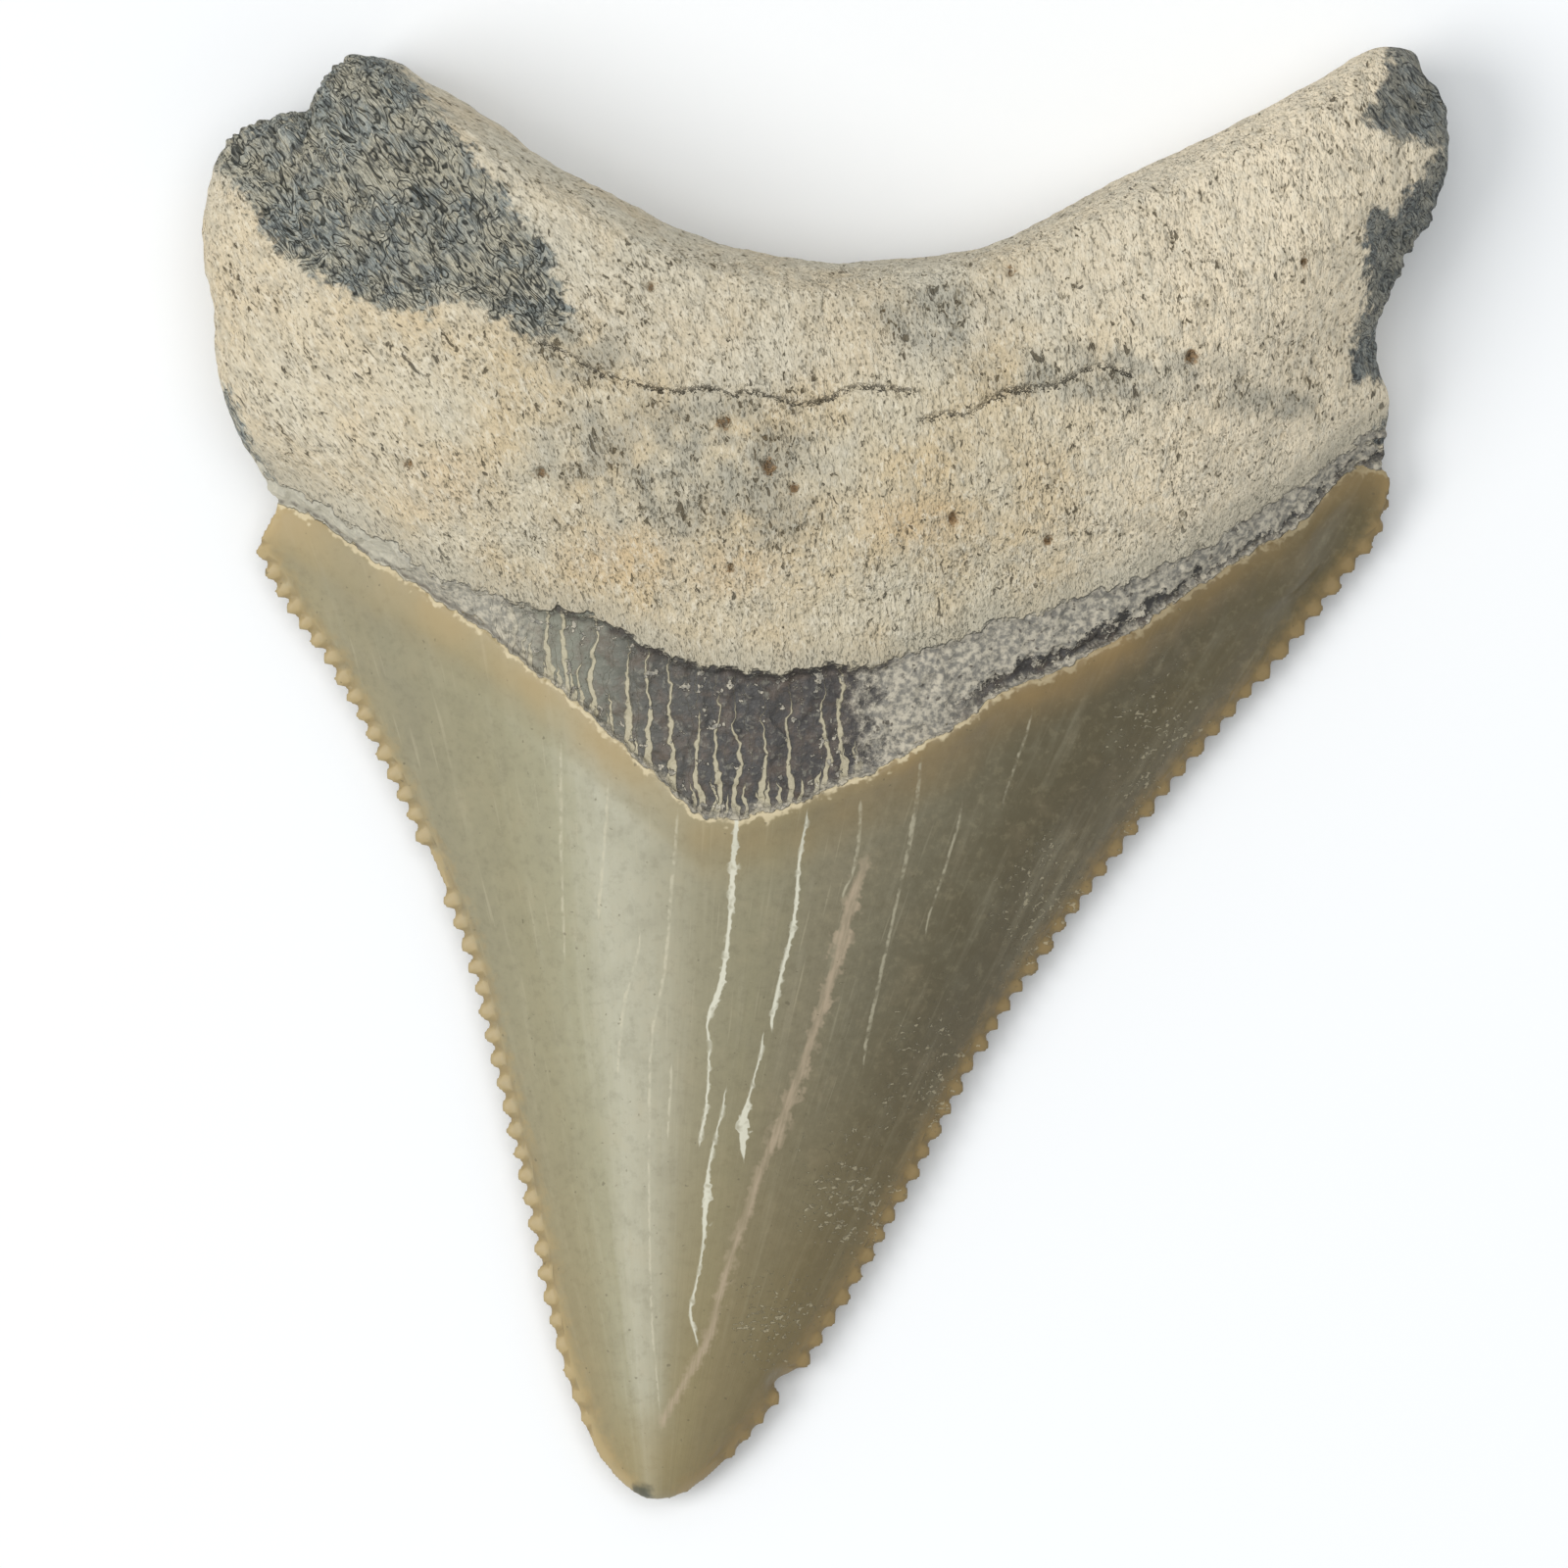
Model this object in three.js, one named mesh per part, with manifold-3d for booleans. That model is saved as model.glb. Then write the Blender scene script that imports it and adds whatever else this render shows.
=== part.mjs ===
// A fossil megalodon tooth, one solid, lying on its outer (labial) face.
// Millimetres. +Y runs from the tip towards the root, +X to the viewer's right, +Z up out of the inner
// (lingual) face, and the origin is under the middle of the tooth's box.
import * as THREE from 'three';
import { mergeVertices } from 'three/addons/utils/BufferGeometryUtils.js';
import Module from 'manifold-3d';

// Thicknesses and heights
const CROWN_BULGE = 4.9; // inner face above the cutting edge, at the enamel's lowest point
const ROOT_BULGE = 5.7; // inner face above the root's rim, at the root's thickest line
const EDGE_HEIGHT = 1.1; // cutting edge above the table
const SHOULDER_RIM = 1.8; // rim where the root starts, beside the shoulders
const LOBE_RIM = 3.5; // rim round the lobes
const ARCH_RIM_RISE = 0.7; // how much higher the rim is in the middle of the arch
const ENAMEL_LEDGE = 0.35; // enamel stands over the band above it
const BAND_RISE = 0.4; // band's upper edge over its lower one
const ROOT_STEP = 0.5; // root's lower edge stands over the band
const STEP_WIDTH = 0.15; // how far both steps lean
const ROOT_SHELF = 0.22; // share of the root's height over which its lower edge rounds up
const ROOT_RIDGE = 0.64; // share of the root's height where the bevel towards the arch starts
const BEVEL_DROP = 0.3; // share of the bulge lost over the bevel
const RIM_ROUNDING = 0.1; // share of the root's height that rounds over into the arch
const OUTER_HOLLOW = 0.45; // shallow hollow in the outer face of the root, between the lobes
const OUTER_FLAT = 1.4; // how soon the outer face is flat behind the root's rim

// Serrations: low lumps along both cutting edges, four rim points and two crest points each
const SERRATION_PITCH = { left: [0.84, 0.67], right: [0.72, 0.86] }; // beside the tip and at the shoulder
const PITCH_SPREAD = 0.1; // share by which the pitch varies from lump to lump
const SIZE_SPREAD = 0.15; // share by which the size varies from lump to lump
const WORN_SIZE = 0.45; // size of the first and last lumps, beside full ones
const WORN_LENGTH = { left: [7, 2], right: [4, 5] }; // how far from each end the lumps are worn
const LUMP_RIM = [[0, -0.02], [0.2, 0.15], [0.5, 0.21], [0.8, 0.15]]; // share of the pitch, distance outwards
const LUMP_CREST = [[0, -0.05], [0.5, 0.08]]; // share of the pitch, height over the smooth face
const FRINGE = 0.9; // width of the serrated fringe on each face
const CREST_SHARE = 0.4; // share of the fringe from the rim to the lumps' crests
const SMOOTH_STEP = 0.45; // spacing of the rim points where there are no lumps
const SMOOTH_TIP = { left: 2.4, right: 1.5 }; // worn edge beside the tip, without lumps
const CHIPS = { left: [20.0, 21.6], right: [3.7, 5.0] }; // chipped stretches, counted from the tip
const PLAIN_SHOULDER = 0.9; // smooth edge round the shoulders

// Mesh density
const COLUMNS = 35;
const CROWN_ROWS = 25;
const BAND_ROWS = 3;
const ROOT_ROWS = 17;

// Outline and feature lines, seen from above, each from left to right or from the tip upwards.
// Lines that run across are given in two halves that meet on the tooth's ridge line.
const TIP = [[[-6.2, -22.9], [-5.8, -23.1], [-5.4, -23.17]], [[-5.4, -23.17], [-4.9, -23.1], [-4.4, -22.9]]];
const ENAMEL_EDGE = [
  [[-17.5, 8.7], [-16.5, 8.3], [-14.1, 6.7], [-11.7, 5.2], [-9.3, 3.4], [-7.0, 1.5], [-5.1, -0.3],
    [-4.0, -1.2], [-2.7, -1.4]],
  [[-2.7, -1.4], [-0.8, -0.8], [1.6, 0.2], [3.8, 1.4], [5.6, 2.6], [7.9, 3.6], [10.2, 4.9], [12.5, 6.5],
    [14.9, 7.9], [16.6, 9.6], [17.8, 9.8]],
];
const ROOT_EDGE = [
  [[-18.1, 9.8], [-17.0, 9.1], [-15.7, 8.4], [-13.8, 7.3], [-12.3, 6.3], [-10.2, 5.6], [-8.5, 5.2],
    [-6.9, 4.9], [-5.8, 4.1], [-3.9, 3.5], [-2.3, 3.2]],
  [[-2.3, 3.2], [-0.3, 3.4], [1.9, 3.6], [4.8, 4.6], [8.0, 5.6], [10.9, 6.7], [13.3, 8.1], [15.5, 9.5],
    [17.0, 10.5], [17.8, 10.7]],
];
const ROOT_TOP = [
  [[-19.3, 19.9], [-18.8, 20.3], [-18.1, 20.7], [-17.0, 21.1], [-16.3, 21.2], [-16.1, 21.6], [-15.7, 22.3],
    [-15.1, 22.8], [-14.3, 22.9], [-13.6, 22.7], [-12.6, 22.0], [-10.7, 20.8], [-8.5, 19.3], [-6.3, 18.1],
    [-3.8, 17.0], [-1.3, 16.4], [0.4, 16.25]],
  [[0.4, 16.25], [3.2, 16.5], [5.9, 17.2], [8.2, 18.4], [10.9, 19.7], [13.7, 21.0], [15.5, 22.1],
    [16.8, 22.9], [17.7, 23.17], [18.4, 23.1], [18.7, 22.9]],
];
const LEFT_CUTTING_EDGE = [
  [-6.2, -22.9], [-6.9, -22.2], [-7.5, -21.2], [-8.5, -18.3], [-9.4, -13.8], [-10.5, -9.1], [-11.35, -5.7],
  [-12.5, -2.8], [-13.95, 0.3], [-15.75, 3.6], [-16.9, 5.2], [-17.7, 6.5], [-18.1, 7.5], [-17.8, 8.1],
  [-17.5, 8.7],
];
const RIGHT_CUTTING_EDGE = [
  [-4.4, -22.9], [-3.3, -22.0], [-2.0, -20.4], [-1.6, -19.5], [-0.9, -19.2], [-0.3, -18.1], [1.2, -15.6],
  [2.85, -12.6], [4.5, -9.4], [6.3, -6.5], [9.4, -2.2], [12.1, 1.1], [14.7, 4.1], [16.7, 6.6], [17.6, 7.6],
  [18.0, 8.9], [18.1, 9.5], [17.8, 9.8],
];
const ROOT_LEFT_SIDE = [
  [-18.1, 9.8], [-18.5, 10.6], [-19.05, 11.9], [-19.4, 13.3], [-19.55, 15.0], [-19.8, 16.8], [-19.75, 18.3],
  [-19.3, 19.9],
];
const ROOT_RIGHT_SIDE = [
  [17.8, 10.7], [18.0, 11.9], [17.6, 12.9], [17.5, 14.1], [17.8, 15.2], [18.3, 16.3], [19.3, 18.1],
  [19.8, 19.7], [19.7, 21.1], [19.5, 21.6], [19.1, 22.2], [18.7, 22.9],
];

// Broken places on the inner face of the root: inside each outline the surface is sunk and rough
const LEFT_BREAK = [
  [-20.5, 18.6], [-18.2, 18.2], [-16.9, 16.4], [-14.9, 14.9], [-13.2, 14.8], [-11.6, 14.6], [-9.9, 13.9],
  [-8.8, 13.6], [-8.0, 14.3], [-8.6, 16.3], [-10.1, 18.0], [-11.6, 20.2], [-13.2, 22.6], [-14.3, 24.0],
  [-20.5, 24.0],
];
const RIGHT_BREAK = [
  [18.0, 24.0], [17.7, 22.2], [17.1, 20.8], [17.9, 20.4], [19.0, 20.2], [18.4, 18.6], [17.5, 18.0],
  [17.0, 17.0], [17.2, 15.4], [16.8, 13.8], [17.1, 12.7], [18.8, 12.6], [21.0, 16.0], [21.0, 24.0],
];
const BREAK_DEPTH = 0.8;
const BREAK_ROUGHNESS = 0.22;

// Blood-vessel pits in the root: place, half widths and depth
const PITS = [
  { x: -3.2, y: 11.1, wide: 0.28, deep: 0.5 },
  { x: -1.8, y: 9.7, wide: 0.36, deep: 0.5 },
  { x: 11.5, y: 13.2, wide: 0.3, deep: 0.45 },
];

const COLOURS = { enamel: 0x8f8b74, roughness: 0.45 };

const { lerp, clamp, smoothstep } = THREE.MathUtils;

function spline(points) {
  return new THREE.SplineCurve(points.map(([x, y]) => new THREE.Vector2(x, y)));
}

// A line across the tooth, read by u from 0 at the left rim over 0.5 on the ridge to 1 at the right rim
function acrossLine([left, right]) {
  const halves = [spline(left), spline(right)];
  return (u) => (u < 0.5 ? halves[0].getPointAt(2 * u) : halves[1].getPointAt(2 * u - 1));
}

function along(curve) {
  return (v) => curve.getPointAt(v);
}

// A patch of the tooth between two lines across it and two rims, blended from its four sides
function patch(bottom, top, left, right) {
  const corners = [bottom(0), bottom(1), top(0), top(1)];
  const mix = (axis, u, v) => {
    const rows = lerp(bottom(u)[axis], top(u)[axis], v);
    const sides = lerp(left(v)[axis], right(v)[axis], u);
    const [a, b, c, d] = corners.map((corner) => corner[axis]);
    return rows + sides - lerp(lerp(a, b, u), lerp(c, d, u), v);
  };
  return (u, v) => new THREE.Vector2(mix('x', u, v), mix('y', u, v));
}

const leftEdge = spline(LEFT_CUTTING_EDGE);
const rightEdge = spline(RIGHT_CUTTING_EDGE);
const rootLeft = spline(ROOT_LEFT_SIDE);
const rootRight = spline(ROOT_RIGHT_SIDE);
const enamelEdge = acrossLine(ENAMEL_EDGE);
const rootEdge = acrossLine(ROOT_EDGE);

const crownPatch = patch(acrossLine(TIP), enamelEdge, along(leftEdge), along(rightEdge));
const bandPatch = patch(
  enamelEdge,
  rootEdge,
  along(new THREE.LineCurve(enamelEdge(0), rootEdge(0))),
  along(new THREE.LineCurve(enamelEdge(1), rootEdge(1))),
);
const rootPatch = patch(rootEdge, acrossLine(ROOT_TOP), along(rootLeft), along(rootRight));

// How far a column is from the rims: 1 on the ridge line, 0 on either rim
const lens = (u) => Math.pow(Math.max(0, 1 - (2 * u - 1) ** 2), 1.1);
const blunt = (u) => Math.sqrt(Math.max(0, 1 - Math.abs(2 * u - 1) ** 5));

function inside(point, outline) {
  let within = false;
  outline.forEach(([x, y], i) => {
    const [px, py] = outline[(i + outline.length - 1) % outline.length];
    const spans = y > point.y !== py > point.y;
    if (spans && point.x < x + ((px - x) * (point.y - y)) / (py - y)) within = !within;
  });
  return within;
}

// A fixed uneven value from -1 to 1 for a place, so that every run gives the same surface
function uneven(x, y) {
  const wave = Math.sin(x * 12.9 + y * 78.2) * 437.5;
  return 2 * (wave - Math.floor(wave)) - 1;
}

function breakDepth(point) {
  const broken = inside(point, LEFT_BREAK) || inside(point, RIGHT_BREAK);
  return broken ? BREAK_DEPTH + BREAK_ROUGHNESS * uneven(point.x, point.y) : 0;
}

// Crown, from the tip at v = 0 to the enamel's edge at v = 1
function crownPoint(u, v) {
  const place = crownPatch(u, v);
  const rim = EDGE_HEIGHT + (SHOULDER_RIM - EDGE_HEIGHT) * smoothstep(v, 0.93, 1);
  const inner = rim + CROWN_BULGE * Math.pow(v, 0.62) * lens(u);
  const drop = 1.25 * Math.pow(lens(u), 0.6) * smoothstep(v, 0, 0.12);
  return { place, inner, outer: rim * (1 - Math.min(1, drop)) };
}

// Band between the enamel and the root, sunk below both
function bandPoint(u, v) {
  const place = bandPatch(u, v);
  const sink = blunt(u);
  const low = crownPoint(u, 1).inner - ENAMEL_LEDGE * sink;
  const high = rootPoint(u, 0).inner - ROOT_STEP * sink;
  place.y += STEP_WIDTH * sink * (1 - 2 * v);
  return { place, inner: lerp(low, high, v), outer: crownPoint(u, 1).outer };
}

// Root, from its lower edge at v = 0 to the arch and the lobes' ends at v = 1
function rootPoint(u, v) {
  const place = rootPatch(u, v);
  const t = 2 * u - 1;
  const rim = lerp(SHOULDER_RIM, LOBE_RIM, smoothstep(v, 0, 0.45)) + ARCH_RIM_RISE * (1 - t * t) * v;
  const bevel = 1 - BEVEL_DROP * Math.max(0, (v - ROOT_RIDGE) / (1 - ROOT_RIDGE));
  const rounding = clamp((v - 1 + RIM_ROUNDING) / RIM_ROUNDING, 0, 1);
  const over = Math.sqrt(1 - rounding * rounding);
  const full = rim + ROOT_BULGE * (1 - 0.35 * t * t) * blunt(u) * bevel * over;
  const start = crownPoint(u, 1);
  const low = start.inner + (ROOT_STEP + BAND_RISE) * blunt(u);
  const rise = Math.sin((Math.PI / 2) * clamp(v / ROOT_SHELF, 0, 1));
  const sunk = breakDepth(place) * over * blunt(u);
  const hollow = OUTER_HOLLOW * smoothstep(1 - t * t, 0.55, 1) * smoothstep(v, 0, 0.5) * over;
  const back = rim * (1 - Math.min(1, OUTER_FLAT * blunt(u) * over)) + hollow;
  return { place, inner: lerp(low, full, rise) - sunk, outer: lerp(start.outer, back, rise) };
}

// Rows across the tooth, from the tip to the arch; stations count on from one stretch to the next
const stationOf = (stretchNumber, v) => stretchNumber + 0.8 * v;

function rows() {
  const stretch = (surface, shares, number) => {
    return shares.map((v) => ({ surface, v, station: stationOf(number, v) }));
  };
  const shares = (count) => Array.from({ length: count + 1 }, (_, i) => i / count);
  const rootShares = [...shares(ROOT_ROWS).slice(0, -1), 1 - RIM_ROUNDING * 0.35, 1];
  return [
    ...stretch(crownPoint, shares(CROWN_ROWS), 0),
    ...stretch(bandPoint, shares(BAND_ROWS), 1),
    ...stretch(rootPoint, rootShares, 2),
  ];
}

// Share of a row's width that the fringe takes, next to either rim
function fringeShare({ surface, v }) {
  const width = surface(0, v).place.distanceTo(surface(1, v).place);
  return Math.min(0.2, FRINGE / width);
}

function lineAt(face, allRows, shareOf) {
  return allRows.map((row) => {
    const { place, ...heights } = row.surface(shareOf(row), row.v);
    return { station: row.station, at: new THREE.Vector3(place.x, place.y, heights[face]) };
  });
}

function columnShare(row, column) {
  const even = column / (COLUMNS - 1);
  const gathered = 0.5 - 0.5 * Math.cos(Math.PI * even);
  const fringe = fringeShare(row);
  return lerp(fringe, 1 - fringe, lerp(even, gathered, 0.4));
}

// Where each lump starts along one cutting edge, how long it is and how much of its full size is left
function lumpsAlong(side, length) {
  const [start, end] = [SMOOTH_TIP[side], length - PLAIN_SHOULDER];
  const [first, last] = SERRATION_PITCH[side];
  const [wornTip, wornShoulder] = WORN_LENGTH[side];
  const lumps = [];
  for (let at = start; ; ) {
    const pitch = lerp(first, last, at / length) * (1 + PITCH_SPREAD * uneven(at, first));
    if (at + pitch > end) break;
    const whole = Math.min(smoothstep(at - start, 0, wornTip), smoothstep(end - at, 0, wornShoulder));
    const chipped = at > CHIPS[side][0] && at < CHIPS[side][1];
    const size = lerp(WORN_SIZE, 1, whole) * (1 + SIZE_SPREAD * uneven(at, last));
    lumps.push({ at, pitch, size: chipped ? 0 : size });
    at += pitch;
  }
  return lumps;
}

// Distances along one cutting edge, each with what the given marks of a lump say there
function edgeMarks(side, length, marks) {
  const plain = (from, to) => {
    const count = Math.ceil((to - from) / SMOOTH_STEP);
    return Array.from({ length: count }, (_, i) => [lerp(from, to, i / count), 0]);
  };
  const lumps = lumpsAlong(side, length);
  const last = lumps[lumps.length - 1];
  const marked = lumps.flatMap(({ at, pitch, size }) => {
    return marks.map(([share, out]) => [at + share * pitch, out * size]);
  });
  return [...plain(0, lumps[0].at), ...marked, ...plain(last.at + last.pitch, length), [length, 0]];
}

function rimLine(edge, side, allRows) {
  const outwards = side === 'left' ? -1 : 1;
  const length = edge.getLength();
  const serrated = edgeMarks(side, length, LUMP_RIM).map(([distance, out]) => {
    const share = distance / length;
    const place = edge.getPointAt(share);
    const direction = edge.getTangentAt(share);
    const rim = crownPoint(0, share).inner;
    const reach = out * outwards;
    const at = new THREE.Vector3(place.x + direction.y * reach, place.y - direction.x * reach, rim);
    return { station: stationOf(0, share), at };
  });
  const behind = allRows.filter((row) => row.station >= 1);
  return [...serrated, ...lineAt('inner', behind, () => (side === 'left' ? 0 : 1))];
}

function crestLine(face, edge, side, allRows) {
  const fromSide = (share) => (side === 'left' ? share : 1 - share);
  const length = edge.getLength();
  const raised = edgeMarks(side, length, LUMP_CREST).map(([distance, up]) => {
    const v = distance / length;
    const inset = fringeShare({ surface: crownPoint, v }) * CREST_SHARE;
    const { place, ...heights } = crownPoint(fromSide(inset), v);
    const swell = face === 'inner' ? up : -up;
    return { station: stationOf(0, v), at: new THREE.Vector3(place.x, place.y, heights[face] + swell) };
  });
  const behind = allRows.filter((row) => row.station >= 1);
  return [...raised, ...lineAt(face, behind, (row) => fromSide(fringeShare(row) * CREST_SHARE))];
}

// Triangles between two neighbouring lines, whose stations may be spaced differently
function stripe(line, next) {
  const corners = [];
  let i = 0;
  let j = 0;
  while (i < line.length - 1 || j < next.length - 1) {
    const nextEnded = j === next.length - 1;
    const first = nextEnded || (i < line.length - 1 && line[i + 1].station <= next[j + 1].station);
    const third = first ? line[i + 1] : next[j + 1];
    corners.push(line[i].at, next[j].at, third.at);
    i += first ? 1 : 0;
    j += first ? 0 : 1;
  }
  return corners;
}

// All lines from the tip to the root's top, in turn round the tooth: inner face, then back below
function toothLines() {
  const allRows = rows();
  const columns = (face) => {
    const plain = Array.from({ length: COLUMNS }, (_, i) => {
      return lineAt(face, allRows, (row) => columnShare(row, i));
    });
    const [left, right] = [
      crestLine(face, leftEdge, 'left', allRows),
      crestLine(face, rightEdge, 'right', allRows),
    ];
    return [left, ...plain, right];
  };
  return [
    rimLine(leftEdge, 'left', allRows),
    ...columns('inner'),
    rimLine(rightEdge, 'right', allRows),
    ...columns('outer').reverse(),
  ];
}

const wasm = await Module();
wasm.setup();

// A closed geometry as a solid that can be joined and cut
function solid(geometry) {
  const bare = geometry.clone();
  bare.deleteAttribute('normal');
  bare.deleteAttribute('uv');
  const merged = mergeVertices(bare, 1e-4);
  const corners = merged.index.array;
  const kept = [];
  for (let i = 0; i < corners.length; i += 3) {
    const [a, b, c] = corners.slice(i, i + 3);
    if (a !== b && b !== c && c !== a) kept.push(a, b, c);
  }
  const vertProperties = merged.attributes.position.array;
  return new wasm.Manifold(new wasm.Mesh({ numProp: 3, vertProperties, triVerts: new Uint32Array(kept) }));
}

function pit({ x, y, wide, deep }, height) {
  const ball = new THREE.IcosahedronGeometry(1, 1);
  ball.scale(wide, wide * 1.25, deep);
  ball.translate(x, y, height);
  return solid(ball);
}

function toGeometry(manifold) {
  const mesh = manifold.getMesh();
  const geometry = new THREE.BufferGeometry();
  geometry.setAttribute('position', new THREE.BufferAttribute(mesh.vertProperties, 3));
  geometry.setIndex(new THREE.BufferAttribute(mesh.triVerts, 1));
  return geometry;
}

function surfaceHeight(points, x, y) {
  const near = points.filter((p) => Math.hypot(p.x - x, p.y - y) < 1.2).map((p) => p.z);
  return Math.max(...near);
}

function tooth() {
  const lines = toothLines();
  const corners = lines.flatMap((line, i) => stripe(line, lines[(i + 1) % lines.length]));
  const body = solid(new THREE.BufferGeometry().setFromPoints(corners));
  const pits = PITS.map((place) => pit(place, surfaceHeight(corners, place.x, place.y)));
  const made = pits.reduce((solidSoFar, next) => solidSoFar.subtract(next), body);
  const geometry = toGeometry(made);
  geometry.computeBoundingBox();
  const { min, max } = geometry.boundingBox;
  geometry.translate(-(min.x + max.x) / 2, -(min.y + max.y) / 2, -min.z);
  geometry.computeVertexNormals();
  const material = new THREE.MeshStandardMaterial({
    color: COLOURS.enamel,
    roughness: COLOURS.roughness,
    metalness: 0,
    flatShading: true,
  });
  const mesh = new THREE.Mesh(geometry, material);
  mesh.name = 'tooth';
  return mesh;
}

const group = new THREE.Group();
group.add(tooth());

export default group;
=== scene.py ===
# A fossil megalodon tooth lying on its outer face, seen from straight above.
# The tooth is modelled in millimetres and brought to metres at the end. +Y runs from the tip to the root.
import math

import bpy
import numpy as np
from mathutils import Matrix, Vector, kdtree, noise


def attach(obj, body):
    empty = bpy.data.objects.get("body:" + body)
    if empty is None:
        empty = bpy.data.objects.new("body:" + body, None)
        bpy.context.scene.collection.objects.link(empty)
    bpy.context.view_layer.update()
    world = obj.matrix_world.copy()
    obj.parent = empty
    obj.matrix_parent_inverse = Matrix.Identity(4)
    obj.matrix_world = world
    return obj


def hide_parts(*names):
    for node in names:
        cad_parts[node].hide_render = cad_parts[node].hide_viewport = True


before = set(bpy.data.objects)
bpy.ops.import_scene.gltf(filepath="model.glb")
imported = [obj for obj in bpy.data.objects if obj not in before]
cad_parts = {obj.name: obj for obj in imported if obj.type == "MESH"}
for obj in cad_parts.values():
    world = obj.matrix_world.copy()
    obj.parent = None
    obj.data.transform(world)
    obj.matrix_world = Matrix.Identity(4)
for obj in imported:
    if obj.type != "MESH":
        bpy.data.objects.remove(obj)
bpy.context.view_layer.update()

MM = 0.001

# Heights and steps of the solid
CROWN_BULGE = 4.9
ROOT_BULGE = 5.7
EDGE_HEIGHT = 1.1
SHOULDER_RIM = 1.8
LOBE_RIM = 3.5
ARCH_RIM_RISE = 0.7
ENAMEL_LEDGE = 0.35
BAND_RISE = 0.4
ROOT_STEP = 0.5
CRUSTED_STEP = 0.15
STEP_WIDTH = 0.15
ROOT_SHELF = 0.22
ROOT_RIDGE = 0.64
BEVEL_DROP = 0.3
RIM_ROUNDING = 0.1
OUTER_HOLLOW = 0.45
OUTER_FLAT = 1.4
CROWN_SWELL = 0.62
BACK_DROP = 1.25
BACK_DROP_SPREAD = 0.6
BACK_DROP_REACH = 0.12
SHOULDER_START = 0.93
LOBE_REACH = 0.45
ROOT_ROUNDING = 0.35

# Serrations
SERRATION_PITCH = {"left": (0.84, 0.67), "right": (0.72, 0.86)}
PITCH_SPREAD = 0.1
SIZE_SPREAD = 0.15
WORN_SIZE = 0.45
WORN_LENGTH = {"left": (7.0, 2.0), "right": (4.0, 5.0)}
SMOOTH_TIP = {"left": 2.4, "right": 1.5}
CHIPS = {"left": (20.0, 21.6), "right": (3.7, 5.0)}
PLAIN_SHOULDER = 0.9
LUMP_LENGTH = 0.72
LUMP_WIDTH = 0.54
LUMP_THICKNESS = 0.16
LUMP_REACH = 0.25
GROOVE_LENGTH = 0.75
EDGE_STEPS = 1200

# Fineness
COLUMNS = 260
CROWN_ROWS = 220
BAND_ROWS = 24
ROOT_ROWS = 160
ROWS = CROWN_ROWS + BAND_ROWS + ROOT_ROWS + 2
COLUMN_CROWDING = 0.6
MERGE_REACH = 0.001
LINE_STEPS = 400
CLAY_STEP = 0.1
MOST_TRIANGLES = 192000

# Outline and feature lines, as on the solid
TIP = [[(-6.2, -22.9), (-5.8, -23.1), (-5.4, -23.17)], [(-5.4, -23.17), (-4.9, -23.1), (-4.4, -22.9)]]
ENAMEL_EDGE = [
    [(-17.5, 8.7), (-16.5, 8.3), (-14.1, 6.7), (-11.7, 5.2), (-9.3, 3.4), (-7.0, 1.5), (-5.1, -0.3),
     (-4.0, -1.2), (-2.7, -1.4)],
    [(-2.7, -1.4), (-0.8, -0.8), (1.6, 0.2), (3.8, 1.4), (5.6, 2.6), (7.9, 3.6), (10.2, 4.9), (12.5, 6.5),
     (14.9, 7.9), (16.6, 9.6), (17.8, 9.8)],
]
SMOOTH_ENAMEL_EDGE = [
    ENAMEL_EDGE[0],
    [*ENAMEL_EDGE[1][:7], (12.5, 6.4), (14.9, 7.9), (16.5, 9.0), (17.8, 9.8)],
]
ROOT_EDGE = [
    [(-18.1, 9.8), (-17.0, 9.1), (-15.7, 8.4), (-13.8, 7.3), (-12.3, 6.3), (-10.2, 5.6), (-8.5, 5.2),
     (-6.9, 4.9), (-5.8, 4.1), (-3.9, 3.5), (-2.3, 3.2)],
    [(-2.3, 3.2), (-0.3, 3.4), (1.9, 3.6), (4.8, 4.6), (8.0, 5.6), (10.9, 6.7), (13.3, 8.1), (15.5, 9.5),
     (17.0, 10.5), (17.8, 10.7)],
]
ROOT_TOP = [
    [(-19.3, 19.9), (-18.8, 20.3), (-18.1, 20.7), (-17.0, 21.1), (-16.3, 21.2), (-16.1, 21.6), (-15.7, 22.3),
     (-15.1, 22.8), (-14.3, 22.9), (-13.6, 22.7), (-12.6, 22.0), (-10.7, 20.8), (-8.5, 19.3), (-6.3, 18.1),
     (-3.8, 17.0), (-1.3, 16.4), (0.4, 16.25)],
    [(0.4, 16.25), (3.2, 16.5), (5.9, 17.2), (8.2, 18.4), (10.9, 19.7), (13.7, 21.0), (15.5, 22.1),
     (16.8, 22.9), (17.7, 23.17), (18.4, 23.1), (18.7, 22.9)],
]
LEFT_CUTTING_EDGE = [
    (-6.2, -22.9), (-6.9, -22.2), (-7.5, -21.2), (-8.5, -18.3), (-9.4, -13.8), (-10.5, -9.1),
    (-11.35, -5.7), (-12.5, -2.8), (-13.95, 0.3), (-15.75, 3.6), (-16.9, 5.2), (-17.7, 6.5), (-18.1, 7.5),
    (-17.8, 8.1), (-17.5, 8.7),
]
RIGHT_CUTTING_EDGE = [
    (-4.4, -22.9), (-3.3, -22.0), (-2.0, -20.5), (-1.15, -19.3), (-0.3, -18.1), (1.2, -15.6), (2.85, -12.6),
    (4.5, -9.4), (6.3, -6.5), (9.4, -2.2), (12.1, 1.1), (14.7, 4.1), (16.7, 6.6), (17.6, 7.6), (18.0, 8.9),
    (18.1, 9.5), (17.8, 9.8),
]
NICK = (-1.3, -19.5)
NICK_DEPTH = (-0.32, 0.14)
NICK_REACH = 0.75
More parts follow.
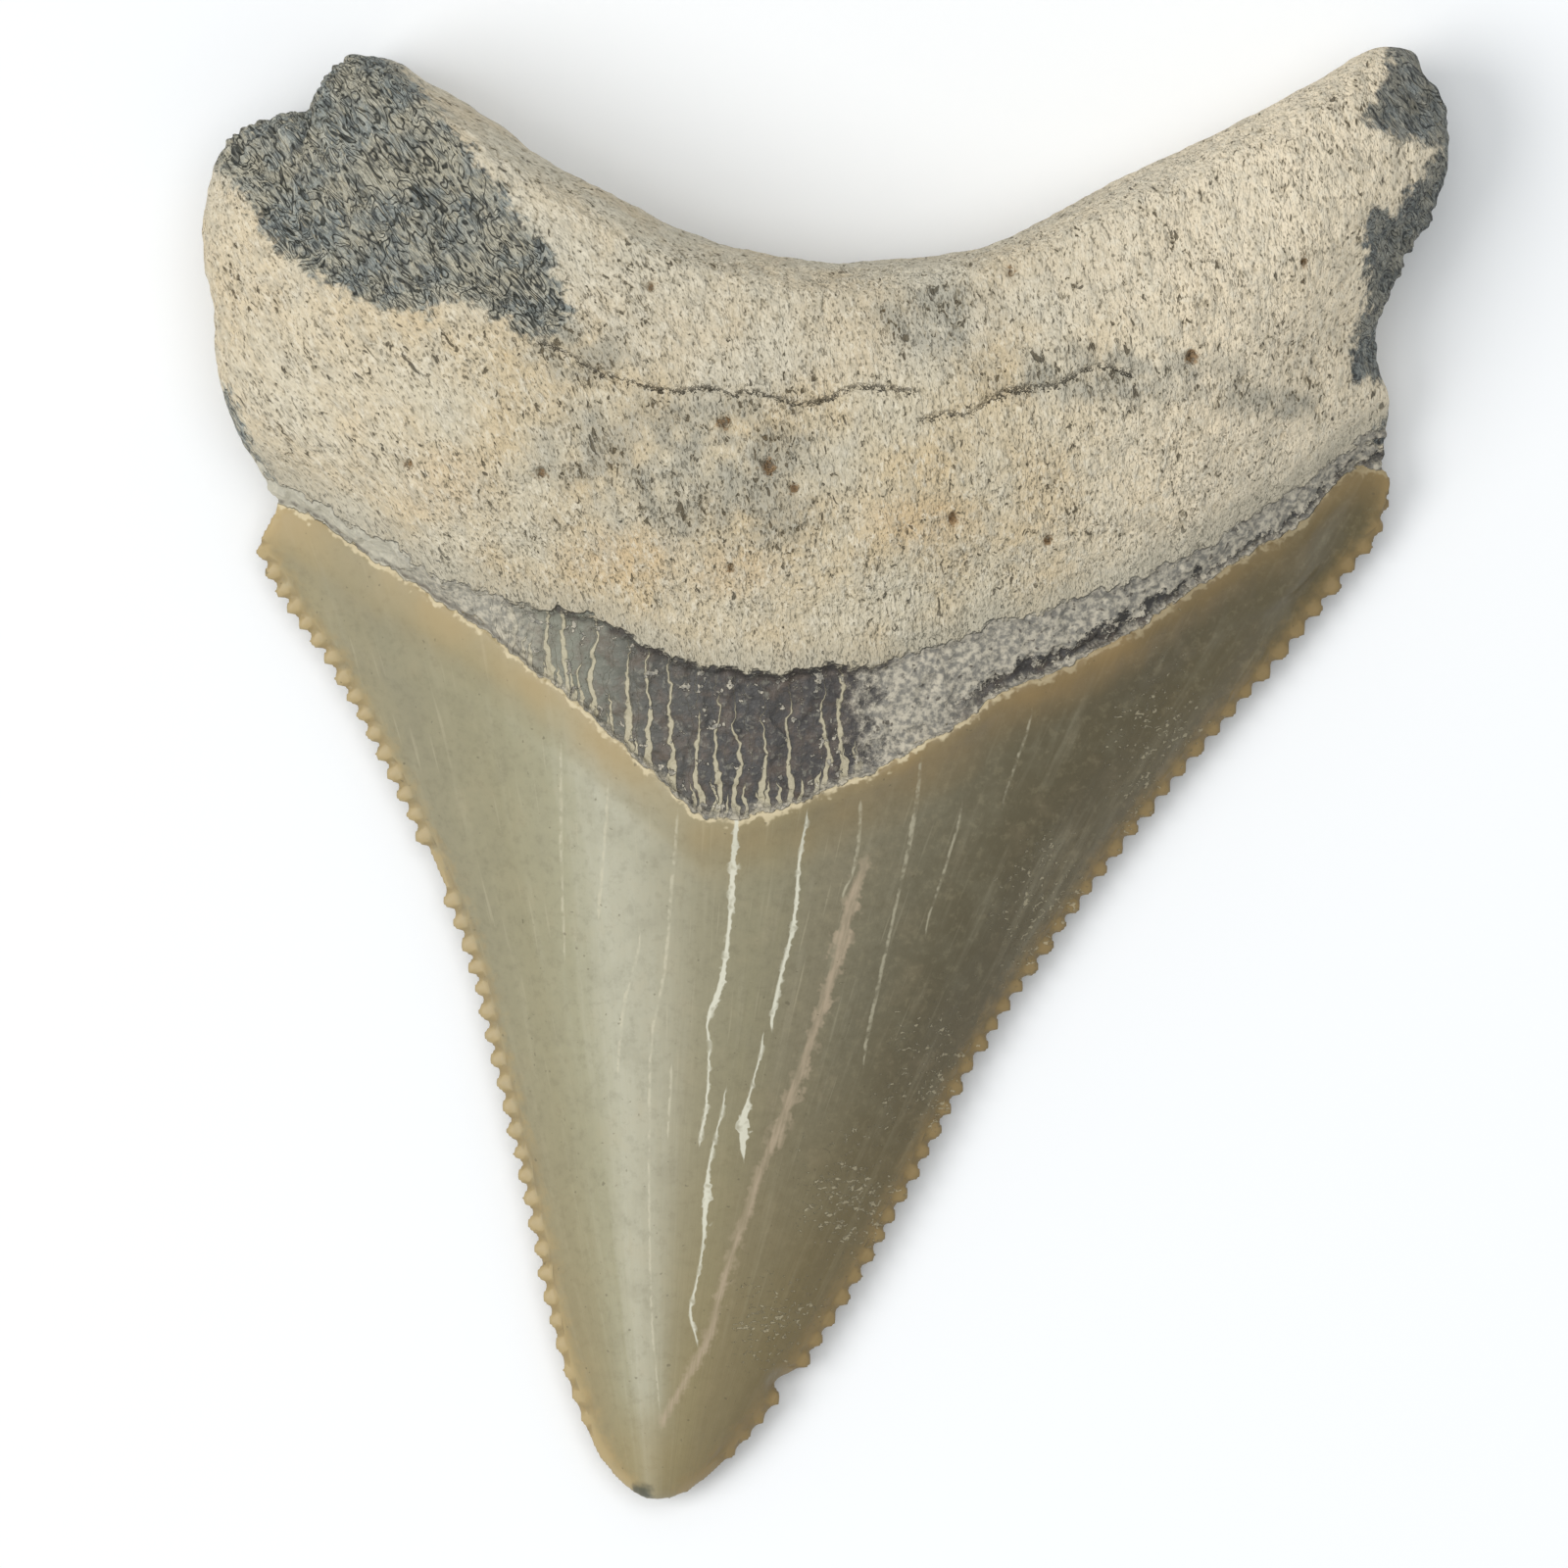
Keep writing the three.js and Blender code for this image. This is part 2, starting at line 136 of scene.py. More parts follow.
ROOT_LEFT_SIDE = [
    (-18.1, 9.8), (-18.5, 10.6), (-19.05, 11.9), (-19.4, 13.3), (-19.55, 15.0), (-19.8, 16.8),
    (-19.75, 18.3), (-19.3, 19.9),
]
ROOT_RIGHT_SIDE = [
    (17.8, 10.7), (18.0, 11.9), (17.6, 12.9), (17.5, 14.1), (17.8, 15.2), (18.3, 16.3), (19.3, 18.1),
    (19.8, 19.7), (19.7, 21.1), (19.5, 21.6), (19.1, 22.2), (18.7, 22.9),
]
OUTER_ENAMEL_EDGE = [(-17.5, 8.7), (-13.0, 7.2), (-8.0, 5.6), (-2.5, 4.9), (4.0, 5.6), (10.0, 7.2),
                     (15.0, 9.0), (17.8, 9.8)]

# Broken places of the root, on the inner face and round on the outer one
LEFT_BREAK = [
    (-21.5, 19.6), (-19.5, 19.3), (-18.5, 18.4), (-17.8, 17.4), (-17.2, 16.5), (-16.3, 15.9), (-15.2, 15.3),
    (-14.1, 14.8), (-12.5, 14.6), (-12.2, 15.1), (-11.3, 14.9), (-10.0, 14.2), (-9.2, 13.8), (-8.4, 13.9),
    (-8.0, 14.6), (-8.1, 15.1), (-8.6, 15.9), (-8.6, 16.6), (-9.6, 17.4), (-10.0, 18.3), (-10.8, 19.1),
    (-11.4, 20.0), (-12.6, 21.2), (-12.8, 21.8), (-13.4, 22.4), (-14.0, 22.9), (-14.0, 25.0), (-21.5, 25.0),
]
RIGHT_BREAK = [
    (18.0, 25.0), (18.0, 23.2), (17.7, 22.2), (17.2, 21.1), (17.0, 20.8), (17.4, 20.4), (19.0, 20.0),
    (19.5, 20.0), (19.1, 19.3), (18.4, 18.5), (18.0, 17.8), (17.4, 18.1), (17.0, 17.4), (17.2, 16.5),
    (17.0, 16.0), (17.2, 15.0), (16.7, 13.8), (16.6, 13.0), (16.9, 12.6), (17.6, 12.6), (21.5, 12.4),
    (21.5, 25.0),
]
RIGHT_WEDGE = [(18.6, 11.7), (18.0, 11.5), (17.4, 10.8), (16.7, 10.0), (16.5, 9.6), (17.8, 9.8), (18.8, 10.4)]
LEFT_END = [
    (-21.5, 19.0), (-19.2, 18.8), (-17.8, 19.2), (-16.2, 19.6), (-15.0, 20.7), (-14.4, 21.6), (-13.4, 22.4),
    (-13.4, 25.0), (-21.5, 25.0),
]
RIGHT_END = [
    (17.9, 25.0), (18.2, 22.4), (18.0, 21.0), (18.6, 19.6), (18.0, 18.2), (17.2, 17.2), (17.3, 15.6),
    (16.9, 14.0), (17.2, 12.8), (21.5, 12.6), (21.5, 25.0),
]
LEFT_CHIP = [
    (-19.6, 12.6), (-19.0, 12.2), (-18.5, 11.1), (-18.1, 10.2), (-17.6, 9.4), (-18.6, 9.0), (-19.8, 10.4),
]
BREAK_DEPTH = 0.6
BREAK_WALL = 1.1
STRAND_DIRECTION = (0.62, -0.79)

# How far the finishes' borders wander from the feature lines
EDGE_WANDER = 0.5
BREAK_WANDER = 0.9
OUTER_BAND = 1.3

# Where the outer face turns into the inner one: heights on the root, slopes on the crown
ROOT_TURN = (2.0, 3.4)
CROWN_TURN = (-0.3, 0.3)

# Wide soft markings: middle, half width and half height
GREY_PLACES = [
    (-3.8, 9.8, 4.6, 2.8), (-1.7, 8.2, 1.7, 1.3), (-7.4, 10.2, 2.0, 1.6), (-7.6, 13.3, 2.0, 1.2),
    (3.4, 14.4, 2.4, 1.4), (9.0, 12.6, 4.8, 1.1), (14.2, 11.8, 2.0, 0.7),
]
TAN_PLACES = [(-12.0, 9.2, 1.7, 1.4), (-6.3, 6.9, 2.6, 1.2), (-2.9, 6.4, 1.8, 1.0), (3.0, 8.0, 2.4, 1.0)]
SCUFFED_PLACES = [
    (10.8, 0.2, 2.8, 5.2), (7.0, -4.5, 2.4, 4.4), (3.4, -9.6, 2.4, 3.6), (0.8, -13.4, 2.6, 3.0),
    (-1.6, -17.4, 2.2, 2.4),
]

# Small markings: middle and reach
TIP_STAIN = (-5.9, -22.95, 0.35)
PITS = [
    (-3.2, 11.1, 0.2), (-1.8, 9.7, 0.24), (11.5, 13.2, 0.2), (-1.0, 9.0, 0.12), (-3.0, 6.5, 0.1),
    (5.8, 15.9, 0.13), (4.0, 8.1, 0.13), (7.0, 7.4, 0.12), (15.1, 16.2, 0.1), (-5.5, 15.4, 0.12),
    (-9.0, 9.5, 0.15), (-13.2, 9.8, 0.09),
]
CRACK_WIDTH = 0.035
CRACKS = [
    [(-8.8, 13.6), (-8.0, 13.2), (-7.4, 12.8), (-6.6, 12.5), (-5.8, 12.3), (-4.8, 12.1), (-3.6, 12.2),
     (-3.0, 12.0), (-2.4, 12.1), (-1.6, 11.9), (-0.8, 11.7), (0.1, 11.9), (0.8, 12.2), (1.9, 12.2),
     (2.7, 12.1)],
    [(3.1, 11.2), (3.8, 11.4), (4.6, 11.4), (5.1, 11.8), (5.7, 12.1), (7.2, 12.3), (8.6, 12.9), (9.6, 12.7)],
]
CRACK_LINES = [[(x, y, CRACK_WIDTH) for x, y in crack] for crack in CRACKS]

# Pale cracks down the enamel: places and half widths, from the band towards the tip
WHITE_STREAKS = [
    [(-2.8, -1.3, 0.06), (-2.9, -2.4, 0.09), (-3.1, -5.2, 0.06), (-3.4, -6.9, 0.1), (-3.7, -7.6, 0.05),
     (-3.7, -8.8, 0.03), (-3.8, -10.6, 0.04), (-4.0, -11.6, 0.03)],
    [(-3.2, -10.1, 0.02), (-3.7, -12.4, 0.04), (-3.8, -13.7, 0.1), (-3.9, -14.9, 0.03), (-4.1, -16.1, 0.03),
     (-4.3, -17.1, 0.04), (-4.1, -18.0, 0.02)],
    [(-0.6, -1.3, 0.03), (-0.8, -2.4, 0.04), (-1.0, -4.6, 0.06), (-1.5, -6.7, 0.05), (-1.7, -7.8, 0.06)],
    [(-2.0, -8.4, 0.03), (-2.4, -10.1, 0.03), (-2.6, -11.0, 0.14), (-2.6, -12.1, 0.04)],
]
FINE_STREAKS = [
    [(1.1, -1.0, 0.05), (0.9, -2.9, 0.05), (0.5, -4.0, 0.02)],
    [(3.0, 0.5, 0.03), (2.7, -1.9, 0.07), (2.4, -3.3, 0.05), (2.0, -5.2, 0.04), (1.6, -7.0, 0.06),
     (1.2, -9.2, 0.02)],
    [(6.5, 1.9, 0.03), (6.0, 0.3, 0.04), (5.6, -1.0, 0.02)],
    [(4.3, -1.0, 0.03), (3.8, -2.9, 0.04), (3.2, -4.9, 0.02)],
    [(-8.4, 0.9, 0.03), (-8.4, -0.5, 0.05), (-8.4, -2.7, 0.05), (-8.3, -5.7, 0.02)],
    [(-6.9, -0.3, 0.03), (-7.1, -3.1, 0.05), (-7.2, -4.3, 0.06)],
    [(-5.9, -5.2, 0.04), (-6.4, -7.3, 0.05), (-6.6, -9.4, 0.03)],
    [(-4.9, -9.4, 0.04), (-5.0, -11.3, 0.03)],
    [(-4.7, -1.3, 0.04), (-4.9, -3.7, 0.05), (-5.1, -6.1, 0.05), (-5.5, -8.2, 0.04), (-5.6, -10.6, 0.04),
     (-5.6, -14.1, 0.03), (-5.5, -17.7, 0.03), (-5.3, -20.1, 0.02)],
]
TAN_STREAK = [
    (1.3, -2.6, 0.05), (0.9, -3.7, 0.16), (0.3, -6.1, 0.17), (-0.4, -8.2, 0.12), (-1.1, -10.2, 0.15),
    (-2.1, -12.7, 0.1), (-2.7, -14.4, 0.09), (-3.3, -16.3, 0.1), (-3.8, -18.1, 0.11), (-4.6, -19.5, 0.09),
    (-5.2, -20.7, 0.05),
]

# Camera, straight above a place a little below and left of the tooth's middle
VIEW_CENTRE = (-1.328 * MM, -0.266 * MM)
VIEW_WIDTH = 50 * MM
VIEW_HEIGHT = 500 * MM
VIEW_LEVEL = 2.2 * MM


def add_camera():
    lens = bpy.data.cameras.new("camera")
    lens.sensor_width = 36
    lens.lens = lens.sensor_width * (VIEW_HEIGHT - VIEW_LEVEL) / VIEW_WIDTH
    lens.clip_start = 0.01
    camera = bpy.data.objects.new("camera", lens)
    camera.location = (*VIEW_CENTRE, VIEW_HEIGHT)
    bpy.context.scene.collection.objects.link(camera)
    bpy.context.scene.camera = camera


# Lines and patches, read as on the solid
def mix(first, second, share):
    return first + (second - first) * share


def smooth(value, low, high):
    share = np.clip((value - low) / (high - low), 0, 1)
    return share * share * (3 - 2 * share)


def spline(points, steps=24):
    """A smooth line through the points, with the distance along it at each of its many steps"""
    hand = np.array([points[0], *points, points[-1]], float)
    share = np.linspace(0, 1, steps, endpoint=False)[:, None]
    stretches = []
    for before, start, end, after in zip(hand, hand[1:], hand[2:], hand[3:]):
        leave = (end - before) / 2
        arrive = (after - start) / 2
        cubic = (2 * start - 2 * end + leave + arrive) * share**3
        square = (3 * end - 3 * start - 2 * leave - arrive) * share**2
        stretches.append(cubic + square + leave * share + start)
    line = np.vstack([*stretches, hand[-1:]])
    steps_taken = np.linalg.norm(np.diff(line, axis=0), axis=1)
    return line, np.concatenate([[0], np.cumsum(steps_taken)])


def at_share(line, share):
    points, reach = line
    distance = np.clip(share, 0, 1) * reach[-1]
    return np.stack([np.interp(distance, reach, points[:, axis]) for axis in (0, 1)], axis=-1)


def across(halves):
    left, right = (spline(half) for half in halves)

    def place(u):
        u = np.asarray(u, float)
        return np.where((u < 0.5)[..., None], at_share(left, 2 * u), at_share(right, 2 * u - 1))

    return place


def patch(bottom, top, left, right):
    ends = [bottom(0), bottom(1), top(0), top(1)]

    def place(u, v):
        u1, v1 = u[..., None], v[..., None]
        rows = mix(bottom(u), top(u), v1)
        sides = mix(left(v), right(v), u1)
        return rows + sides - mix(mix(ends[0], ends[1], u1), mix(ends[2], ends[3], u1), v1)

    return place


edges = {"left": spline(LEFT_CUTTING_EDGE), "right": spline(RIGHT_CUTTING_EDGE)}
enamel_edge = across(ENAMEL_EDGE)
smooth_enamel_edge = across(SMOOTH_ENAMEL_EDGE)
root_edge = across(ROOT_EDGE)
crown_patch = patch(
    across(TIP),
    smooth_enamel_edge,
    lambda v: at_share(edges["left"], v),
    lambda v: at_share(edges["right"], v),
)
band_patch = patch(
    enamel_edge,
    root_edge,
    lambda v: mix(enamel_edge(0), root_edge(0), v[..., None]),
    lambda v: mix(enamel_edge(1), root_edge(1), v[..., None]),
)
root_sides = [spline(ROOT_LEFT_SIDE), spline(ROOT_RIGHT_SIDE)]
root_patch = patch(
    root_edge, across(ROOT_TOP), lambda v: at_share(root_sides[0], v), lambda v: at_share(root_sides[1], v)
)


def lens_shape(u):
    return np.maximum(0, 1 - (2 * u - 1) ** 2) ** 1.1


def blunt(u):
    return np.sqrt(np.maximum(0, 1 - np.abs(2 * u - 1) ** 5))


def ragged(x, size):
    """An uneven line's departure from its smooth course"""
    return size * (0.5 * np.sin(2.3 * x + 1) + 0.35 * np.sin(5.9 * x + 2) + 0.3 * np.sin(13.1 * x + 4))


ENAMEL_RAGGED = 0.09
ROOT_RAGGED = 0.13


def nicked(place):
    """Dents the right cutting edge where a flake is gone"""
    beside = np.linalg.norm(place - np.array(NICK), axis=-1)
    return place + np.array(NICK_DEPTH) * (1 - smooth(beside, 0, NICK_REACH))[..., None]


def crown_point(u, v):
    place = nicked(crown_patch(u, v))
    place += (enamel_edge(u) - smooth_enamel_edge(u)) * smooth(v, 0.8, 1)[..., None]
    place[..., 1] += ragged(place[..., 0], ENAMEL_RAGGED) * smooth(v, 0.85, 1) * blunt(u)
    rim = mix(EDGE_HEIGHT, SHOULDER_RIM, smooth(v, SHOULDER_START, 1))
    inner = rim + CROWN_BULGE * v**CROWN_SWELL * lens_shape(u)
    drop = BACK_DROP * lens_shape(u) ** BACK_DROP_SPREAD * smooth(v, 0, BACK_DROP_REACH)
    return place, inner, rim * (1 - np.minimum(1, drop))


def root_step(x):
    """The root's lower edge stands out on the left and runs out in crust on the right"""
    return mix(ROOT_STEP, CRUSTED_STEP, smooth(x, 0.5, 3))


def band_point(u, v):
    place = band_patch(u, v)
    sink = blunt(u)
    one = np.ones_like(u)
    _, crown_top, outer = crown_point(u, one)
    _, root_low, _ = root_point(u, 0 * one)
    wander = mix(ragged(place[..., 0], ENAMEL_RAGGED), ragged(place[..., 0] + 3, ROOT_RAGGED), v)
    place[..., 1] += (STEP_WIDTH * (1 - 2 * v) + wander) * sink
    inner = mix(crown_top - ENAMEL_LEDGE * sink, root_low - root_step(place[..., 0]) * sink, v)
    return place, inner, outer


def root_point(u, v):
    place = root_patch(u, v)
    place[..., 1] += ragged(place[..., 0] + 3, ROOT_RAGGED) * (1 - smooth(v, 0, 0.15)) * blunt(u)
    t = 2 * u - 1
    rim = mix(SHOULDER_RIM, LOBE_RIM, smooth(v, 0, LOBE_REACH)) + ARCH_RIM_RISE * (1 - t * t) * v
    bevel = 1 - BEVEL_DROP * np.maximum(0, (v - ROOT_RIDGE) / (1 - ROOT_RIDGE))
    rounding = np.clip((v - 1 + RIM_ROUNDING) / RIM_ROUNDING, 0, 1)
    over = np.sqrt(1 - rounding * rounding)
    full = rim + ROOT_BULGE * (1 - ROOT_ROUNDING * t * t) * blunt(u) * bevel * over
    _, crown_top, crown_outer = crown_point(u, np.ones_like(u))
    low = crown_top + (root_step(place[..., 0]) + BAND_RISE) * blunt(u)
    rise = np.sin(math.pi / 2 * np.clip(v / ROOT_SHELF, 0, 1))
    hollow = OUTER_HOLLOW * smooth(1 - t * t, 0.55, 1) * smooth(v, 0, 0.5) * over
    back = rim * (1 - np.minimum(1, OUTER_FLAT * blunt(u) * over)) + hollow
    return place, mix(low, full, rise), mix(crown_outer, back, rise)


# Reading and writing a piece's corners
def corners(piece, what="co"):
    values = np.empty(3 * len(piece.data.vertices), np.float32)
    piece.data.vertices.foreach_get(what, values)
    return values.reshape(-1, 3).astype(float)


def set_corners(piece, places):
    piece.data.vertices.foreach_set("co", places.astype(np.float32).ravel())
    piece.data.update()


def choose(*pieces):
    bpy.ops.object.select_all(action="DESELECT")
    for piece in pieces:
        piece.select_set(True)
    bpy.context.view_layer.objects.active = pieces[0]


def apply_modifier(piece, kind, **settings):
    modifier = piece.modifiers.new(kind.lower(), kind)
    for name, value in settings.items():
        setattr(modifier, name, value)
    choose(piece)
    bpy.ops.object.modifier_apply(modifier=modifier.name)


# The tooth's form
def face_sheet(face):
    """One face of the tooth, a grid laid over crown, band and root"""
    bpy.ops.mesh.primitive_grid_add(x_subdivisions=COLUMNS, y_subdivisions=ROWS, size=1)
    sheet = bpy.context.object
    share = corners(sheet)[:, :2] + 0.5
    row = np.rint(share[:, 1] * ROWS).astype(int)
    u = mix(share[:, 0], 0.5 - 0.5 * np.cos(math.pi * share[:, 0]), COLUMN_CROWDING)
    shaped = np.empty((len(row), 3))
    first = 0
    for surface, count in ((crown_point, CROWN_ROWS), (band_point, BAND_ROWS), (root_point, ROOT_ROWS)):
        here = (row >= first) & (row <= first + count)
        place, inner, outer = surface(u[here], (row[here] - first) / count)
        shaped[here, :2] = place
        shaped[here, 2] = inner if face == "inner" else outer
        first += count + 1
    set_corners(sheet, shaped)
    return sheet


def uneven(x, y):
    wave = math.sin(x * 12.9 + y * 78.2) * 437.5
    return 2 * (wave - math.floor(wave)) - 1


def serrations(side):
    """Where each serration starts along its edge, its length and the share of its full size that is left"""
    length = edges[side][1][-1]
    start, end = SMOOTH_TIP[side], length - PLAIN_SHOULDER
    first, last = SERRATION_PITCH[side]
    at = start
    lumps = []
    while True:
        pitch = mix(first, last, at / length) * (1 + PITCH_SPREAD * uneven(at, first))
        if at + pitch > end:
            return lumps
        whole = min(smooth(at - start, 0, WORN_LENGTH[side][0]), smooth(end - at, 0, WORN_LENGTH[side][1]))
        if not CHIPS[side][0] < at < CHIPS[side][1]:
            lumps.append((at, pitch, mix(WORN_SIZE, 1, whole) * (1 + SIZE_SPREAD * uneven(at, last))))
        at += pitch


def lump_matrix(side, at, pitch, size):
    """Lays a ball across the cutting edge, long way inwards, most of it sunk in the crown"""
    length = edges[side][1][-1]
    shares = [(at + part * pitch) / length for part in (0.3, 0.5, 0.7)]
    before, middle, after = (at_share(edges[side], share) for share in shares)
    along = (after - before) / np.linalg.norm(after - before)
    out = np.array([along[1], -along[0]]) * (-1 if side == "left" else 1)
    centre = middle + out * (LUMP_REACH * size - LUMP_LENGTH)
    return Matrix((
        (along[0] * pitch * LUMP_WIDTH, out[0] * LUMP_LENGTH, 0, centre[0]),
        (along[1] * pitch * LUMP_WIDTH, out[1] * LUMP_LENGTH, 0, centre[1]),
        (0, 0, LUMP_THICKNESS, EDGE_HEIGHT),
        (0, 0, 0, 1),
    ))


def serration_lumps():
    bpy.ops.mesh.primitive_ico_sphere_add(subdivisions=3, radius=1)
    pattern = bpy.context.object
    lumps = []
    for side in edges:
        for at, pitch, size in serrations(side):
            lump = pattern.copy()
            lump.data = pattern.data.copy()
            lump.data.transform(lump_matrix(side, at, pitch, size))
            bpy.context.scene.collection.objects.link(lump)
            lumps.append(lump)
    bpy.data.objects.remove(pattern)
    return lumps


def shape_tooth():
    tooth = face_sheet("inner")
    tooth.name = "fossil_tooth"
    back = face_sheet("outer")
    choose(tooth, back)
    bpy.ops.object.join()
    bpy.ops.object.mode_set(mode="EDIT")
    bpy.ops.mesh.select_all(action="SELECT")
    bpy.ops.mesh.remove_doubles(threshold=MERGE_REACH)
    bpy.ops.mesh.normals_make_consistent(inside=False)
    bpy.ops.object.mode_set(mode="OBJECT")
    choose(tooth, *serration_lumps())
    bpy.ops.object.join()
    apply_modifier(tooth, "REMESH", mode="VOXEL", voxel_size=CLAY_STEP)
    apply_modifier(tooth, "SMOOTH", factor=0.5, iterations=3)
    return tooth


def along_edge(plan, side):
    """How far along its cutting edge each place is, and how far away from it"""
    shares = np.linspace(0, 1, EDGE_STEPS)
    tree = kdtree.KDTree(EDGE_STEPS)
    for number, (x, y) in enumerate(at_share(edges[side], shares)):
        tree.insert((x, y, 0), number)
    tree.balance()
    found = [tree.find((x, y, 0)) for x, y in plan]
    at = shares[[number for _, number, _ in found]] * edges[side][1][-1]
    return at, np.array([away for _, _, away in found])


def serration_grooves(places):
    """1 in the grooves between serrations, fading inwards, and 0 elsewhere"""
    grooves = np.zeros(len(places))
    plan = places[:, :2]
    for side, (points, _) in edges.items():
        near = np.flatnonzero(line_distance(plan, points[::12]) < GROOVE_LENGTH)
        at, away = along_edge(plan[near], side)
        starts, pitches, _ = np.array(serrations(side)).T
        which = np.clip(np.searchsorted(starts, at) - 1, 0, len(starts) - 1)
        share = (at - starts[which]) / pitches[which]
        groove = smooth(np.abs(2 * share - 1), 0.5, 0.95) * (share > 0) * (share < 1)
        grooves[near] = groove * (1 - smooth(away, 0.25, GROOVE_LENGTH))
    return grooves


# Distances that the relief and the finishes follow
def line_distance(places, points):
    nearest = np.full(len(places), np.inf)
    for start, end in zip(np.array(points), np.array(points[1:])):
        stretch = end - start
        share = np.clip((places - start) @ stretch / (stretch @ stretch), 0, 1)
        nearest = np.minimum(nearest, np.linalg.norm(places - start - share[:, None] * stretch, axis=1))
    return nearest


def outline_distance(places, outline):
    """Distance to a closed outline, below zero inside it"""
    within = np.zeros(len(places), bool)
    x, y = places.T
    for (x0, y0), (x1, y1) in zip(outline, outline[1:] + outline[:1]):
        spans = (y0 > y) != (y1 > y)
        rise = y1 - y0 if y1 != y0 else 1
        within ^= spans & (x < x0 + (x1 - x0) * (y - y0) / rise)
    distance = line_distance(places, outline + outline[:1])
    return np.where(within, -distance, distance)


def line_height(line, x):
    """y of a line across the tooth at x"""
    points = line(np.linspace(0, 1, LINE_STEPS)) if callable(line) else spline(line)[0]
    return np.interp(x, points[:, 0], points[:, 1])


def inner_share(places, facing):
    """1 on the inner face and 0 on the outer one, told by height on the root and by slope on the crown"""
    rim = smooth(places[:, 2], *ROOT_TURN)
    crown = smooth(facing[:, 2], *CROWN_TURN)
    return np.where(places[:, 1] > line_height(OUTER_ENAMEL_EDGE, places[:, 0]) + 1, rim, crown)


def enamel_distance(places, inner):
    """How far above the enamel's edge a place is"""
    x, y = places[:, 0], places[:, 1]
    inside_edge = line_height(enamel_edge, x) + ragged(x, ENAMEL_RAGGED)
    outside_edge = line_height(OUTER_ENAMEL_EDGE, x) + ragged(x + 5, ENAMEL_RAGGED)
    return y - mix(outside_edge, inside_edge, inner)


def root_distance(places, inner):
    """How far above the root's lower edge a place is"""
    x, y = places[:, 0], places[:, 1]
    inside_edge = line_height(root_edge, x) + ragged(x + 3, ROOT_RAGGED)
    outside_edge = line_height(OUTER_ENAMEL_EDGE, x) + OUTER_BAND + ragged(x + 5, ROOT_RAGGED)
    return y - mix(outside_edge, inside_edge, inner)


def break_distance(places, inner):
    plan = places[:, :2]
    inside = np.minimum(outline_distance(plan, LEFT_BREAK), outline_distance(plan, RIGHT_BREAK))
    outside = np.minimum(outline_distance(plan, LEFT_END), outline_distance(plan, RIGHT_END))
    chips = np.minimum(outline_distance(plan, RIGHT_WEDGE), outline_distance(plan, LEFT_CHIP))
    return np.minimum(mix(outside, inside, inner), chips)


def edge_distance(places):
    plan = places[:, :2]
    return np.minimum(line_distance(plan, LEFT_CUTTING_EDGE), line_distance(plan, RIGHT_CUTTING_EDGE))


def clouds(places, scale, seed=0.0):
    moved = places * np.asarray(scale) + seed
    return np.fromiter((noise.noise(place) for place in moved.tolist()), float, len(moved))


def heaped(places, scale, seed, layers=3):
    """Clouds over finer clouds, about -1 to 1"""
    return sum(clouds(places, scale * 2**n, seed + 7 * n) / 2**n for n in range(layers))


def soft_oval(places, x, y, wide, tall):
    return 1 - smooth(np.hypot((places[:, 0] - x) / wide, (places[:, 1] - y) / tall), 0.3, 1.2)


def strand_axes(places):
    """Places turned so that x runs along the broken bone's strands"""
    along = np.array(STRAND_DIRECTION)
    turned = places.copy()
    turned[:, 0] = places[:, :2] @ along
    turned[:, 1] = places[:, :2] @ np.array([-along[1], along[0]])
    return turned


def pores(places, scale, reach, seed):
    """0 on the surface to 1 in the middle of a pore"""
    moved = places * np.asarray(scale) + seed
    nearest = np.fromiter((noise.voronoi(place)[0][0] for place in moved.tolist()), float, len(moved))
    return 1 - smooth(nearest, 0, reach)


def root_relief(places):
    relief = 0.16 * clouds(places, 0.3, 3) + 0.07 * clouds(places, 0.9, 7) + 0.05 * clouds(places, 2.6, 11)
    return relief - 0.12 * pores(places, (2.0, 1.1, 2.0), 0.3, 5)


def broken_relief(places):
    strands = strand_axes(places)
    fibre = clouds(strands, (0.8, 3.0, 2.6), 2) + 0.5 * clouds(strands, (1.7, 5.0, 4.0), 9)
    return 0.2 * fibre + 0.16 * clouds(places, 0.8, 21)


def band_relief(places):
    crust = smooth(clouds(places, 1.3, 41) + 0.4 * clouds(places, 3.5, 43), -0.05, 0.15)
    return 0.1 * crust + 0.04 * clouds(places, 5.0, 45)


def cracks_and_pits(places):
    plan = places[:, :2] + 0.06 * clouds(places, 2.5, 31)[:, None]
    depth = np.zeros(len(places))
    for crack in CRACKS:
        depth += 0.12 * (1 - smooth(line_distance(plan, crack), 0.02, 0.14))
    for x, y, wide in PITS:
        beside = np.hypot(places[:, 0] - x, (places[:, 1] - y) * 0.8)
        depth += 0.3 * (1 - smooth(beside, 0.05, wide + 0.06))
    return depth


def on_some(places, share, relief):
    """A relief worked out only where its share is above zero"""
    here = share > 0
    height = np.zeros(len(places))
    height[here] = share[here] * relief(places[here])
    return height


